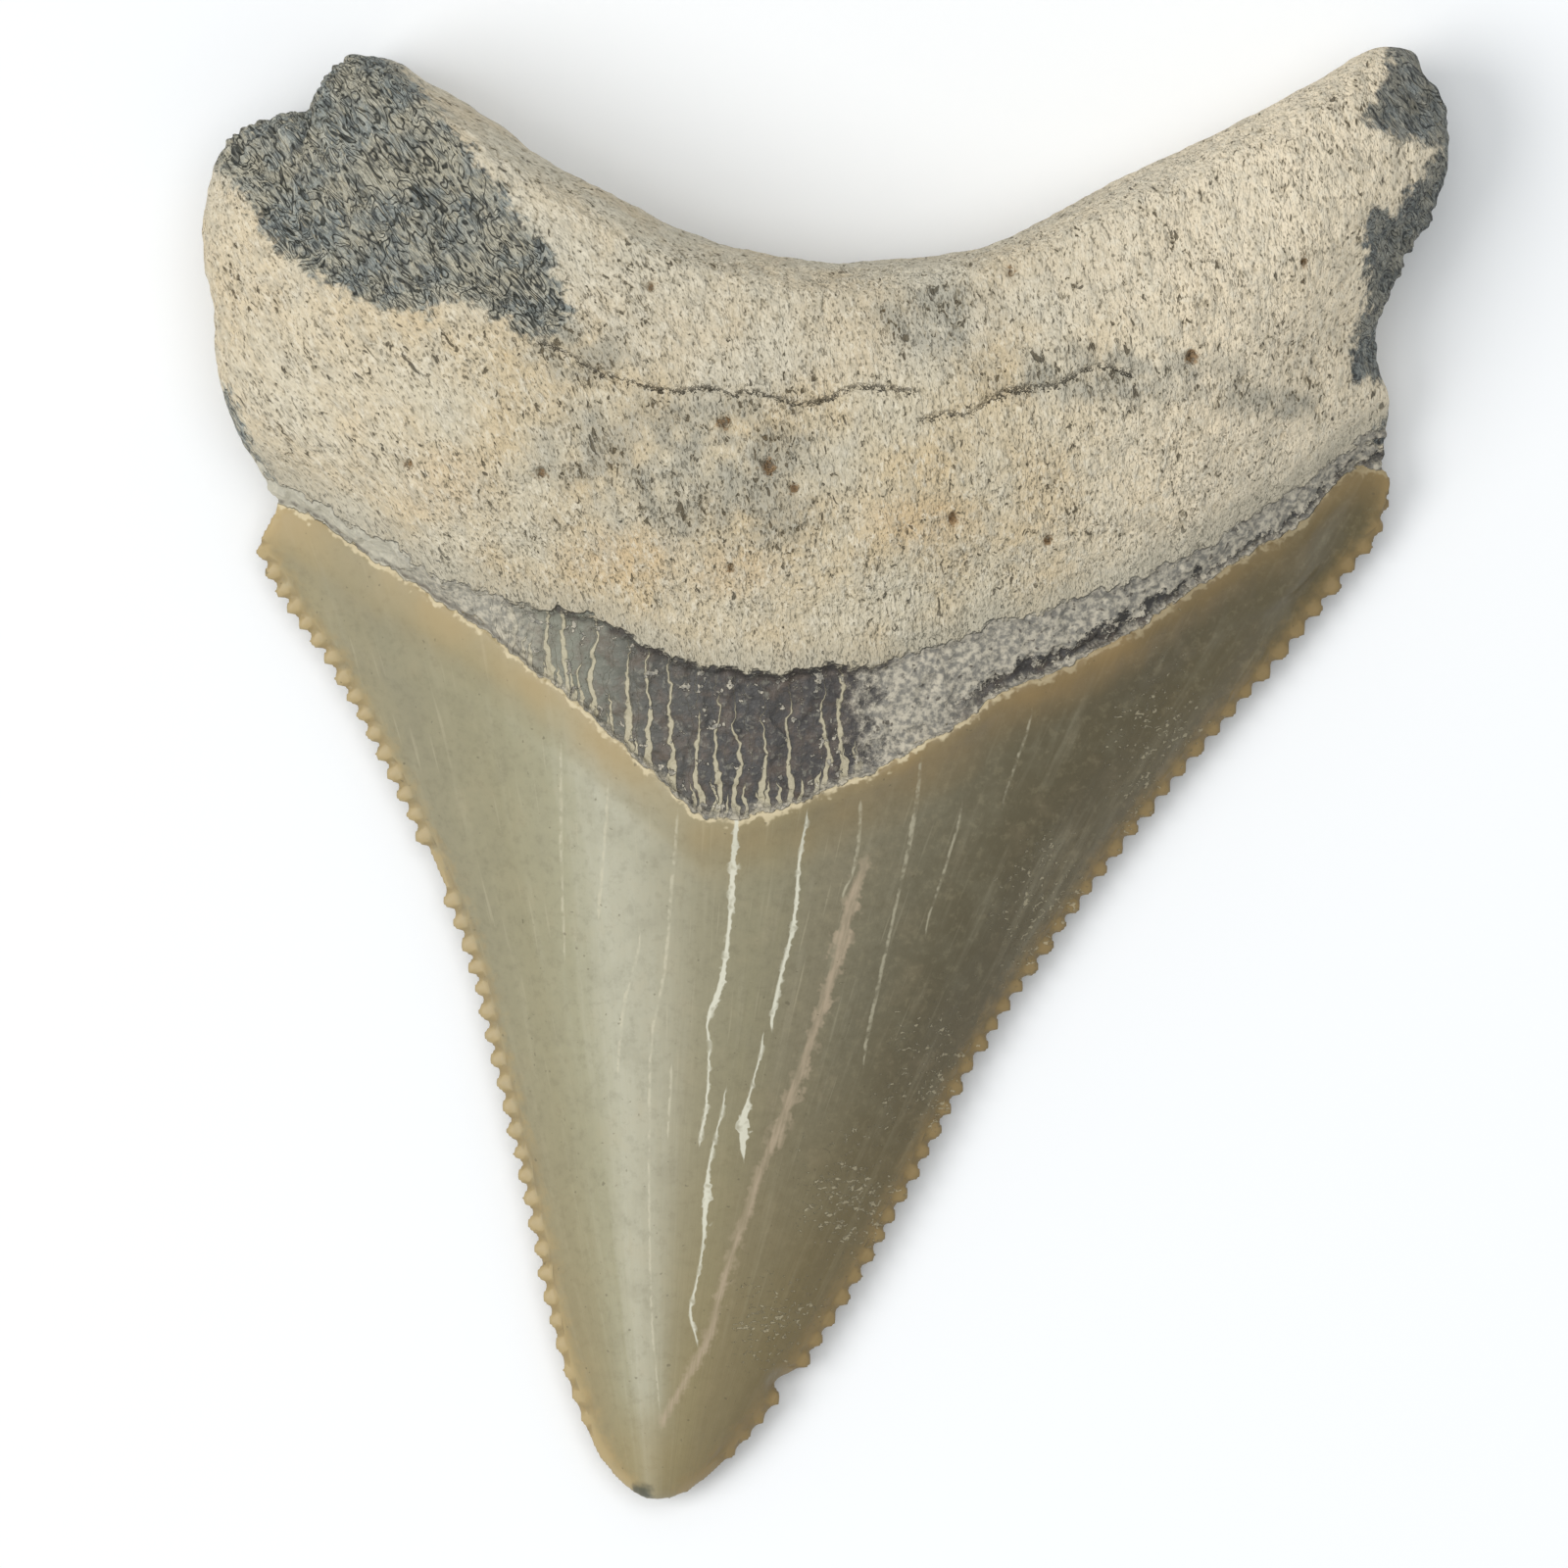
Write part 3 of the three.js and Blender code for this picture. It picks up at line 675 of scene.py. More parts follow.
def carve(tooth):
    """Relief of the root, the broken places, the cracks, the pits and the crust on the band"""
    places = corners(tooth)
    facing = corners(tooth, "normal")
    inner = inner_share(places, facing)
    above_root = root_distance(places, inner)
    above_enamel = enamel_distance(places, inner)
    broken = break_distance(places, inner)
    root = smooth(above_root, 0, 0.6)
    gone = 1 - smooth(broken, -BREAK_WALL, 0.05)
    band = smooth(above_enamel, 0, 0.15) * (1 - smooth(above_root, -0.15, 0))

    relief = on_some(places, root * (1 - gone), root_relief)
    relief += on_some(places, gone, broken_relief)
    relief += on_some(places, band, band_relief)
    relief -= on_some(places, root * inner, cracks_and_pits)
    relief += 0.02 * (1 - smooth(above_enamel, -0.1, 0)) * clouds(places, (0.8, 0.12, 0.2), 51)

    sunk = BREAK_DEPTH * gone * inner * smooth(facing[:, 2], 0.1, 0.8)
    places += facing * relief[:, None]
    places[:, 2] = np.maximum(places[:, 2] - sunk, 0)
    set_corners(tooth, places)


def thin_out(tooth):
    """Fewer triangles where the surface is even"""
    triangles = 2 * len(tooth.data.polygons)
    apply_modifier(tooth, "DECIMATE", ratio=MOST_TRIANGLES / triangles)
    apply_modifier(tooth, "TRIANGULATE")


def keep_values(tooth, name, values):
    kept = tooth.data.attributes.new(name, "FLOAT", "POINT")
    kept.data.foreach_set("value", values.astype(np.float32))


def greyness(places):
    """Greyer places of the root, broken up unevenly"""
    return np.clip(soft_ovals(places, GREY_PLACES) * (0.8 + 1.3 * heaped(places, 1.3, 61)), 0, 1)


def soft_ovals(places, ovals):
    return np.max([soft_oval(places, *oval) for oval in ovals], axis=0)


def note_values(tooth):
    """Each corner's distances to the feature lines and its wide soft markings, for the finishes to read"""
    places = corners(tooth)
    inner = inner_share(places, corners(tooth, "normal"))
    values = {
        "inner": inner,
        "above_enamel": enamel_distance(places, inner),
        "above_root": root_distance(places, inner),
        "broken": break_distance(places, inner),
        "from_edge": edge_distance(places),
        "groove": serration_grooves(places),
        "mottle": 0.5 + 0.5 * heaped(places, 0.45, 71),
        "grey": greyness(places),
        "tan": soft_ovals(places, TAN_PLACES),
        "scuffed": soft_ovals(places, SCUFFED_PLACES),
    }
    for name, each in values.items():
        keep_values(tooth, name, each)
    return values


def dress(tooth, values):
    """Each face gets the finish of its part. Faces near a feature line get one that holds both sides of it"""
    finishes = [
        fossil_finish("enamel", ["enamel"]),
        fossil_finish("enamel_edge_band_and_root", ["enamel", "band", "root", "bone"]),
        fossil_finish("root", ["root"]),
        fossil_finish("root_and_broken_bone", ["root", "bone"]),
    ]
    tooth.data.materials.clear()
    for finish in finishes:
        tooth.data.materials.append(finish)
    loops = np.empty(len(tooth.data.loops), np.int32)
    tooth.data.loops.foreach_get("vertex_index", loops)
    of_faces = {name: each[loops].reshape(-1, 3) for name, each in values.items()}
    top = of_faces["above_enamel"].max(axis=1)
    low = of_faces["above_root"].min(axis=1)
    near_break = of_faces["broken"].min(axis=1) < BREAK_WANDER
    slot = np.where(top < -EDGE_WANDER, 0, np.where(low < EDGE_WANDER, 1, np.where(near_break, 3, 2)))
    tooth.data.polygons.foreach_set("material_index", slot.astype(np.int32))


def make_tooth():
    tooth = shape_tooth()
    carve(tooth)
    thin_out(tooth)
    values = note_values(tooth)
    tooth.data.transform(Matrix.Scale(MM, 4))
    choose(tooth)
    bpy.ops.object.shade_smooth()
    dress(tooth, values)
    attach(tooth, "root")
    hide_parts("tooth")


# Colours, given as 0 to 255
# Enamel bands across the crown. The pale sage stops from 0.23 to 0.34 are a painted highlight, the reflection
# along the crown's crest; the other stops are the enamel's olive and brown bands
ENAMEL_BANDS_AND_CREST_SHEEN = [
    (0.0, (155, 144, 112)),
    (0.07, (145, 138, 112)),
    (0.16, (150, 143, 114)),
    (0.23, (160, 155, 128)),
    (0.28, (176, 172, 150)),
    (0.34, (164, 159, 136)),
    (0.41, (146, 139, 113)),
    (0.5, (137, 130, 103)),
    (0.58, (126, 118, 95)),
    (0.68, (114, 107, 86)),
    (0.77, (97, 89, 68)),
    (0.86, (92, 83, 61)),
    (1.0, (100, 89, 62)),
]
ENAMEL = {
    "pale grain": (180, 172, 146),
    "grey cloud": (128, 122, 100),
    "tan cloud": (176, 158, 126),
    "light smudge": (178, 166, 132),
    "dark smudge": (98, 90, 68),
    "hair": (190, 180, 152),
    "yellowed": (148, 128, 82),
    "warm left": (168, 147, 106),
    "warm right": (146, 121, 80),
    "left rim": (170, 146, 100),
    "right rim": (142, 119, 78),
    # groove is painted shade between the serrations; the crest colours are painted highlights on their tips
    "groove": (112, 97, 68),
    "left crest highlight": (200, 180, 138),
    "right crest highlight": (162, 138, 96),
    "lip": (210, 194, 158),
    "tip stain": (58, 66, 58),
    "tan streak": (182, 163, 138),
    "fine streak": (198, 190, 164),
    "white streak": (212, 208, 188),
    "scuff": (192, 180, 150),
    "dent": (92, 84, 64),
}
BAND_GROUNDS = [
    (0.0, (120, 116, 104)),
    (0.22, (150, 146, 130)),
    (0.3, (130, 130, 116)),
    (0.36, (88, 86, 80)),
    (0.42, (74, 72, 70)),
    (0.55, (72, 68, 66)),
    (0.75, (64, 62, 60)),
    (1.0, (60, 58, 56)),
]
BAND = {
    "brown blotch": (108, 94, 82),
    "grey fleck": (140, 136, 122),
    "vein": (190, 180, 152),
    "dark crust": (132, 128, 119),
    "pale crust": (196, 187, 168),
    "crust speck": (84, 78, 70),
    "left crust": (206, 200, 180),
    "shadow": (70, 64, 60),
}
ROOT = {
    "tan ground": (205, 184, 147),
    "cream ground": (205, 194, 169),
    "tan place": (206, 174, 128),
    "arch": (212, 210, 200),
    "right end": (236, 220, 192),
    "left end": (228, 215, 190),
    "grey grain": (182, 174, 155),
    "pale thread": (224, 214, 192),
    "dark thread": (162, 150, 124),
    "grey place": (152, 149, 136),
    "worn": (158, 144, 116),
    "brown pore": (100, 84, 58),
    "grey pore": (90, 86, 74),
    "crack": (56, 48, 38),
    "pale pit": (140, 108, 70),
    "dark pit": (70, 56, 40),
    "shelf": (174, 168, 150),
}
BONE = {
    "grey strand": (150, 154, 148),
    "tan strand": (184, 178, 158),
    "pale speckle": (190, 181, 156),
    # hollow and outline are painted shade in the crevices between strands; pale strand is partly the strands'
    # own colour and partly a painted highlight
    "hollow": (76, 79, 78),
    "pale strand and highlight": (194, 190, 173),
    "outline": (54, 55, 49),
    "dark speckle": (74, 78, 80),
    "right end": (100, 102, 102),
}


def tone(red, green, blue):
    """A colour of 0 to 255, as the shader wants it"""
    def light(value):
        share = value / 255
        return share / 12.92 if share <= 0.04045 else ((share + 0.055) / 1.055) ** 2.4

    return (light(red), light(green), light(blue), 1.0)


class Finish:
    """A material whose nodes are added and linked in the order of use"""

    def __init__(self, name):
        self.material = bpy.data.materials.new(name)
        self.material.use_nodes = True
        self.tree = self.material.node_tree
        self.surface = self.tree.nodes["Principled BSDF"]
        metres = self.add("ShaderNodeTexCoord").outputs["Object"]
        self.place = self.laid(metres, stretch=(1 / MM, 1 / MM, 1 / MM))
        self.x, self.y, self.z = self.add("ShaderNodeSeparateXYZ", {0: self.place}).outputs[:3]
        self.read = {}

    def put(self, socket, value):
        if isinstance(value, bpy.types.NodeSocket):
            self.tree.links.new(value, socket)
        else:
            socket.default_value = value

    def add(self, kind, inputs=None, **settings):
        node = self.tree.nodes.new(kind)
        for name, value in settings.items():
            setattr(node, name, value)
        for socket, value in (inputs or {}).items():
            self.put(node.inputs[socket], value)
        return node

    def math(self, operation, first, second=0.0):
        return self.add("ShaderNodeMath", {0: first, 1: second}, operation=operation).outputs[0]

    def plus(self, first, *others):
        for other in others:
            first = self.math("ADD", first, other)
        return first

    def minus(self, first, second):
        return self.math("SUBTRACT", first, second)

    def times(self, first, *others):
        for other in others:
            first = self.math("MULTIPLY", first, other)
        return first

    def highest(self, first, *others):
        for other in others:
            first = self.math("MAXIMUM", first, other)
        return first

    def span(self, value, low, high, start=0.0, end=1.0, how="LINEAR"):
        inputs = {"Value": value, "From Min": low, "From Max": high, "To Min": start, "To Max": end}
        return self.add("ShaderNodeMapRange", inputs, interpolation_type=how).outputs[0]

    def ease(self, value, low, high, start=0.0, end=1.0):
        return self.span(value, low, high, start, end, "SMOOTHSTEP")

    def between(self, share, first, second):
        return self.add("ShaderNodeMix", {0: share, 2: first, 3: second}).outputs[0]

    def blend(self, share, first, second):
        return self.add("ShaderNodeMix", {0: share, 6: first, 7: second}, data_type="RGBA").outputs[2]

    def two_tone(self, share, first, second):
        return self.blend(share, tone(*first), tone(*second))

    def tint(self, colour, share, paint):
        """The colour with its share of a paint over it"""
        return self.blend(share, colour, tone(*paint))

    def value(self, name):
        if name not in self.read:
            self.read[name] = self.add("ShaderNodeAttribute", attribute_name=name).outputs["Fac"]
        return self.read[name]

    def clouds(self, place, scale, detail=1.0, roughness=0.5, warp=0.0):
        inputs = {"Vector": place, "Scale": scale, "Detail": detail}
        inputs.update({"Roughness": roughness, "Distortion": warp})
        return self.add("ShaderNodeTexNoise", inputs).outputs["Fac"]

    def laid(self, place, turn=0.0, stretch=(1, 1, 1)):
        inputs = {"Vector": place, "Rotation": (0, 0, turn), "Scale": stretch}
        return self.add("ShaderNodeMapping", inputs).outputs[0]

    def joined(self, x, y, z):
        return self.add("ShaderNodeCombineXYZ", {0: x, 1: y, 2: z}).outputs[0]

    def near(self, spots, fade, wander):
        """1 within each spot's reach of its middle, fading to 0"""
        marks = []
        for x, y, wide in spots:
            aside = self.joined(self.minus(self.x, x), self.minus(self.y, y), 0.0)
            away = self.add("ShaderNodeVectorMath", {0: aside}, operation="LENGTH").outputs["Value"]
            marks.append(self.ease(self.plus(away, wander), wide - fade, wide + fade, 1.0, 0.0))
        return self.highest(*marks)

    def ramp(self, value, stops):
        node = self.add("ShaderNodeValToRGB", {0: value})
        marks = node.color_ramp.elements
        for mark, (position, paint) in zip(marks, (stops[0], stops[-1])):
            mark.position = position
            mark.color = tone(*paint)
        for position, paint in stops[1:-1]:
            marks.new(position).color = tone(*paint)
        return node.outputs[0]

    def curve(self, share, points):
        node = self.add("ShaderNodeFloatCurve", {"Value": share})
        line = node.mapping.curves[0].points
        line[0].location = points[0]
        line[1].location = points[-1]
        for point in points[1:-1]:
            line.new(*point)
        node.mapping.update()
        return node.outputs[0]


# Lines are drawn on a square frame as wide as this, in mm, around the tooth's middle
DRAWING = 48.0
LINE_WIDEST = 0.5
LINE_FADE = 0.4


def drawn(value):
    return value / DRAWING + 0.5


def draw_lines(finish, along, aside, lines, soft, thinness=1.0):
    """A mask of lines, each given as places along and aside, and half widths"""
    along_share = finish.plus(finish.times(along, 1 / DRAWING), 0.5)
    masks = []
    for points in lines:
        points = sorted(points)
        course = [(drawn(at), drawn(beside)) for at, beside, _ in points]
        width = [(drawn(at), (half + soft) / LINE_WIDEST) for at, _, half in points]
        start, end = drawn(points[0][0] - LINE_FADE), drawn(points[-1][0] + LINE_FADE)
        middle = finish.curve(along_share, [(0.0, course[0][1]), *course, (1.0, course[-1][1])])
        half = finish.curve(along_share, [(0.0, 0.0), (start, 0.0), *width, (end, 0.0), (1.0, 0.0)])
        away = finish.math("ABSOLUTE", finish.minus(aside, finish.times(finish.minus(middle, 0.5), DRAWING)))
        away = finish.times(away, thinness)
        masks.append(finish.minus(finish.times(half, LINE_WIDEST), finish.plus(away, soft)))
    return finish.times(finish.ease(finish.highest(*masks), -soft, soft), finish.value("inner"))


def downwards(streaks):
    """Streaks as draw_lines wants them, running along y"""
    return [[(y, x, half) for x, y, half in streak] for streak in streaks]


# Enamel. Its bands and grain fan out from a place below the tip
BANDS_MEET = (-5.4, -27.0)


def fanned(finish, spread, across, along, apart):
    """Places for a grain that fans out with the bands"""
    return finish.joined(finish.times(spread, across), finish.times(finish.y, along), apart)


def enamel_ground(finish, spread, grain, cloud):
    """Bands of olive and sage grey, the palest of them a painted reflection along the crest, clouded, and
    smudged most on the right
    """
    band = finish.plus(finish.span(spread, -0.35, 0.65), finish.times(finish.minus(grain, 0.5), 0.07))
    # The ramp's pale sage band is a painted reflection along the crest
    colour = finish.ramp(band, ENAMEL_BANDS_AND_CREST_SHEEN)
    colour = finish.tint(colour, finish.times(finish.ease(grain, 0.5, 0.8), 0.25), ENAMEL["pale grain"])
    colour = finish.tint(colour, finish.ease(cloud, 0.45, 0.75, 0.0, 0.3), ENAMEL["grey cloud"])
    colour = finish.tint(colour, finish.ease(cloud, 0.25, 0.5, 0.12, 0.0), ENAMEL["tan cloud"])
    smudge = finish.clouds(finish.place, 3.0, 3.0, 0.7)
    smudged = finish.ease(finish.x, -5.0, 4.0, 0.5, 1.0)
    lighter = finish.times(finish.ease(smudge, 0.5, 0.7, 0.0, 0.12), smudged)
    darker = finish.times(finish.ease(smudge, 0.3, 0.52, 0.34, 0.0), smudged)
    colour = finish.tint(colour, lighter, ENAMEL["light smudge"])
    return finish.tint(colour, darker, ENAMEL["dark smudge"])


def enamel_hairs(finish, colour, spread):
    """Fine pale hairs, clearest on the left and towards the band"""
    hair = finish.ease(finish.clouds(fanned(finish, spread, 190.0, 0.35, 3.0), 1.0, 1.0), 0.64, 0.78)
    upwards = finish.ease(finish.y, -16.0, -3.0, 0.04, 0.24)
    leftwards = finish.ease(finish.x, 0.0, 5.0, 1.0, 0.25)
    return finish.tint(colour, finish.times(hair, upwards, leftwards), ENAMEL["hair"])


def enamel_warmth(finish, colour, spread):
    """Yellower towards the tip, but for the crest's painted reflection, and warmer beside the band"""
    # Less yellowing where the crest's painted reflection lies
    beside_crest_sheen = finish.ease(finish.math("ABSOLUTE", finish.plus(spread, 0.075)), 0.06, 0.2, 0.25, 1.0)
    yellowing = finish.times(finish.ease(finish.y, -20.5, -6.0, 0.42, 0.0), beside_crest_sheen)
    yellowing = finish.highest(yellowing, finish.ease(finish.y, -22.0, -18.5, 0.5, 0.0))
    colour = finish.tint(colour, yellowing, ENAMEL["yellowed"])
    reach = finish.times(finish.value("above_enamel"), finish.ease(finish.x, 4.0, 12.0, 1.0, 1.5))
    warm = finish.times(
        finish.ease(reach, -2.4, -0.4),
        finish.ease(finish.value("mottle"), 0.1, 0.9, 0.35, 0.85),
        finish.ease(finish.x, 8.0, 15.0, 1.0, 0.65),
    )
    paint = finish.two_tone(finish.ease(finish.x, -6.0, 8.0), ENAMEL["warm left"], ENAMEL["warm right"])
    return finish.blend(warm, colour, paint)


def enamel_rim(finish, colour, jitter):
    """Ochre serrations with painted shade in the grooves between them and a painted highlight on their
    crests, lighter on the left edge
    """
    from_edge = finish.value("from_edge")
    groove = finish.value("groove")
    right = finish.ease(finish.x, -6.0, -3.5)
    fringe = finish.ease(finish.plus(from_edge, finish.times(jitter, 0.85)), 0.0, 0.72, 0.72, 0.0)
    colour = finish.blend(fringe, colour, finish.two_tone(right, ENAMEL["left rim"], ENAMEL["right rim"]))
    # Painted shade in the grooves between serrations
    colour = finish.tint(colour, finish.times(groove, 0.35), ENAMEL["groove"])
    # Painted highlight on the serrations' crests
    crest = finish.ease(from_edge, 0.1, 0.4, 0.25, 0.0)
    crest = finish.times(crest, finish.ease(groove, 0.0, 0.3, 1.0, 0.0))
    return finish.blend(crest, colour, finish.two_tone(right, ENAMEL["left crest highlight"], ENAMEL["right crest highlight"]))


def enamel_ends(finish, colour, jitter):
    """The pale lip along the band and the dark stain at the tip"""
    lip = finish.ease(finish.plus(finish.value("above_enamel"), jitter), -0.22, -0.06)
    lip = finish.times(lip, finish.ease(finish.x, 2.0, 9.0, 0.8, 0.3))
    colour = finish.tint(colour, lip, ENAMEL["lip"])
    stain = finish.near([TIP_STAIN], 0.15, finish.times(jitter, 0.5))
    return finish.tint(colour, finish.times(stain, finish.value("inner"), 0.8), ENAMEL["tip stain"])


def enamel_streaks(finish, colour, spread, jitter):
    """The tan streak, the fine cracks and the white ones, with the mask of the white ones"""
    wavering = finish.plus(finish.x, finish.times(jitter, 0.14))
    thinness = finish.ease(jitter, -0.15, 0.15, 0.45, 1.35)
    tan = draw_lines(finish, finish.y, wavering, downwards([TAN_STREAK]), 0.1, thinness)
    threads = finish.clouds(fanned(finish, spread, 120.0, 0.9, 8.0), 1.0, 3.0)
    tan = finish.times(tan, finish.ease(threads, 0.35, 0.65, 0.35, 0.75))
    colour = finish.tint(colour, tan, ENAMEL["tan streak"])
    fine = draw_lines(finish, finish.y, wavering, downwards(FINE_STREAKS), 0.03)
    fine = finish.times(fine, finish.ease(jitter, -0.12, 0.1, 0.05, 0.5))
    colour = finish.tint(colour, fine, ENAMEL["fine streak"])
    white = draw_lines(finish, finish.y, wavering, downwards(WHITE_STREAKS), 0.03, thinness)
    whole = finish.ease(jitter, -0.2, 0.0, 0.35, 0.95)
    return finish.tint(colour, finish.times(white, whole), ENAMEL["white streak"]), white


def enamel_scuffs(finish, cloud):
    """A mask of small slanting scuffs, thickest in the scuffed places"""
    slanted = finish.laid(finish.place, turn=0.6, stretch=(3.6, 7.5, 6.0))
    scratch = finish.clouds(slanted, 1.0, 3.0, 0.6, 0.5)
    scuffed = finish.times(finish.value("scuffed"), finish.ease(cloud, 0.38, 0.6, 0.13, 0.2))
    return finish.ease(finish.plus(scratch, scuffed), 0.74, 0.8)


def enamel_layer(finish):
    """Olive-grey enamel in bands that run together towards the tip, with pale cracks and ochre edges"""
    beside, above = finish.plus(finish.x, -BANDS_MEET[0]), finish.plus(finish.y, -BANDS_MEET[1])
    spread = finish.math("DIVIDE", beside, above)
    grain = finish.clouds(fanned(finish, spread, 40.0, 0.16, 0.0), 1.0, 3.0, 0.65)
    cloud = finish.clouds(finish.place, 0.7, 4.0, 0.65)
    jitter = finish.minus(finish.clouds(finish.place, 2.2, 2.0, 0.7), 0.5)
    colour = enamel_ground(finish, spread, grain, cloud)
    colour = enamel_hairs(finish, colour, spread)
    colour = enamel_warmth(finish, colour, spread)
    colour = enamel_rim(finish, colour, jitter)
    colour = enamel_ends(finish, colour, jitter)
    colour, white = enamel_streaks(finish, colour, spread, jitter)
    scuff = enamel_scuffs(finish, cloud)
    colour = finish.tint(colour, finish.times(scuff, 0.48), ENAMEL["scuff"])
    dent = finish.ease(finish.clouds(finish.place, 4.5, 1.0), 0.2, 0.26, 0.5, 0.0)
    colour = finish.tint(colour, dent, ENAMEL["dent"])
    dull = finish.times(finish.highest(white, scuff), 0.2)
    roughness = finish.plus(dull, finish.plus(finish.times(grain, 0.1), 0.36))
    height = finish.minus(finish.times(grain, 0.02), finish.times(scuff, 0.03))
    return colour, roughness, finish.minus(height, finish.times(finish.value("groove"), 0.03))


# The band between enamel and root
def band_ground(finish, blotch, fleck):
    """Nearly black, greyer on the left, with brown blotches and grey flecks"""
    colour = finish.ramp(finish.span(finish.x, -20.0, 20.0), BAND_GROUNDS)
    colour = finish.tint(colour, finish.ease(blotch, 0.42, 0.68, 0.0, 0.6), BAND["brown blotch"])
    return finish.tint(colour, finish.ease(fleck, 0.55, 0.7, 0.0, 0.5), BAND["grey fleck"])


def veins_down(finish, often, wide, low, high):
    """A mask of pale veins that run down the band, each ending at a height of its own between low and high"""
    sway = finish.times(finish.clouds(finish.place, 0.8, 3.0, 0.6), 0.9)
    course = finish.plus(finish.x, sway)
    cells = finish.add(
        "ShaderNodeTexVoronoi", {"W": course, "Scale": often, "Randomness": 0.85}, voronoi_dimensions="1D"
    )
    above = finish.value("above_enamel")
    end = finish.span(cells.outputs["Color"], 0.0, 1.0, low, high)
    left = finish.span(finish.math("DIVIDE", above, end), 0.0, 1.0, 1.0, 0.15)
    left = finish.times(left, finish.ease(finish.minus(above, end), -0.2, 0.1, 1.0, 0.0))
    half = finish.minus(finish.times(left, wide * often), cells.outputs["Distance"])
    return finish.ease(half, -0.025, 0.03)


def band_veins(finish):
    """A mask of long veins and short ones between them, in the middle of the band"""
    within = finish.times(finish.ease(finish.x, -12.5, -9.5), finish.ease(finish.x, 0.6, 1.6, 1.0, 0.0))
    veins = finish.highest(veins_down(finish, 1.25, 0.11, 2.6, 5.0), veins_down(finish, 2.7, 0.09, 0.3, 1.7))
    return finish.times(veins, within)


def band_crust(finish, blotch, left):
    """A mask of crust: all over the left, on the right but for a dark strip, and in spots between them"""
    above = finish.value("above_enamel")
    uneven = finish.minus(blotch, 0.5)
    below_root = finish.ease(finish.value("above_root"), -1.3, -0.1, 0.0, 0.07)
    hem = finish.plus(below_root, finish.ease(above, 0.3, 1.0, 0.05, 0.0))
    spot = finish.ease(finish.plus(finish.clouds(finish.place, 2.4, 3.0, 0.65), hem), 0.63, 0.67)
    right = finish.ease(finish.plus(finish.x, finish.times(uneven, 5.0)), 0.6, 1.8)
    narrower = finish.ease(finish.x, 9.0, 12.0, 0.0, 0.35)
    strip = finish.ease(finish.plus(above, narrower, finish.times(uneven, 2.4)), 0.55, 0.75, 1.0, 0.0)
    strip = finish.times(strip, finish.ease(finish.x, 3.2, 5.5))
    low = finish.ease(finish.plus(above, uneven), 0.0, 0.35, 0.9, 0.0)
    return finish.highest(spot, low, finish.times(right, finish.minus(1.0, strip)), left)


def crust_colour(finish, fleck, left):
    """Grey crust with dark specks, paler at the left end"""
    colour = finish.two_tone(finish.ease(fleck, 0.35, 0.65), BAND["dark crust"], BAND["pale crust"])
    specks = finish.ease(finish.clouds(finish.place, 3.4, 2.0, 0.6), 0.3, 0.38, 0.85, 0.0)
    colour = finish.tint(colour, specks, BAND["crust speck"])
    paler = finish.times(left, finish.ease(finish.x, -14.5, -12.0, 0.7, 0.15))
    return finish.tint(colour, paler, BAND["left crust"])


def band_shadows(finish, blotch, fleck, left):
    """A mask of the dark lines under the root's edge and beside the enamel's lip"""
    above = finish.value("above_enamel")
    under_root = finish.times(
        finish.ease(finish.value("above_root"), -0.3, -0.08),
        finish.ease(blotch, 0.42, 0.55),
        finish.ease(finish.x, -11.0, -9.0),
        finish.ease(finish.x, 1.5, 3.5, 1.0, 0.3),
    )
    beside_lip = finish.times(
        finish.ease(above, 0.02, 0.08),
        finish.ease(above, 0.12, 0.25, 1.0, 0.0),
        left,
        finish.ease(fleck, 0.35, 0.6, 0.3, 0.9),
    )
    return finish.highest(under_root, beside_lip)


def band_layer(finish):
    """The dark band between enamel and root, with pale veins and crust"""
    blotch = finish.clouds(finish.place, 1.5, 4.0, 0.7)
    fleck = finish.clouds(finish.place, 5.0, 2.0, 0.6)
    left = finish.ease(finish.x, -10.5, -8.5, 1.0, 0.0)
    veins = band_veins(finish)
    crust = band_crust(finish, blotch, left)
    shadow = band_shadows(finish, blotch, fleck, left)
    colour = finish.tint(band_ground(finish, blotch, fleck), finish.times(veins, 0.85), BAND["vein"])
    colour = finish.blend(finish.times(crust, 0.92), colour, crust_colour(finish, fleck, left))
    colour = finish.tint(colour, finish.times(shadow, 0.8), BAND["shadow"])
    roughness = finish.plus(finish.times(crust, 0.3), 0.5)
    height = finish.plus(finish.times(crust, 0.07), finish.times(veins, 0.04), finish.times(fleck, 0.06))
    return colour, roughness, height


# Root
def root_ground(finish, fine, thread):
    """Cream and tan, paler at both ends and in the arch, with threads and greyer places"""
    mottle = finish.ease(finish.value("mottle"), 0.1, 0.9)
    colour = finish.two_tone(mottle, ROOT["tan ground"], ROOT["cream ground"])
    colour = finish.tint(colour, finish.times(finish.value("tan"), 0.4), ROOT["tan place"])
    colour = finish.tint(colour, finish.ease(finish.value("above_root"), 7.6, 9.8, 0.0, 0.25), ROOT["arch"])
    colour = finish.tint(colour, finish.ease(finish.x, 4.0, 14.0, 0.0, 0.85), ROOT["right end"])
    colour = finish.tint(colour, finish.ease(finish.x, -17.0, -9.0, 0.35, 0.0), ROOT["left end"])
    colour = finish.tint(colour, finish.ease(fine, 0.42, 0.7, 0.0, 0.6), ROOT["grey grain"])
    colour = finish.tint(colour, finish.ease(thread, 0.5, 0.72, 0.0, 0.7), ROOT["pale thread"])
    colour = finish.tint(colour, finish.ease(thread, 0.25, 0.5, 0.6, 0.0), ROOT["dark thread"])
    return finish.tint(colour, finish.times(finish.value("grey"), 0.65), ROOT["grey place"])


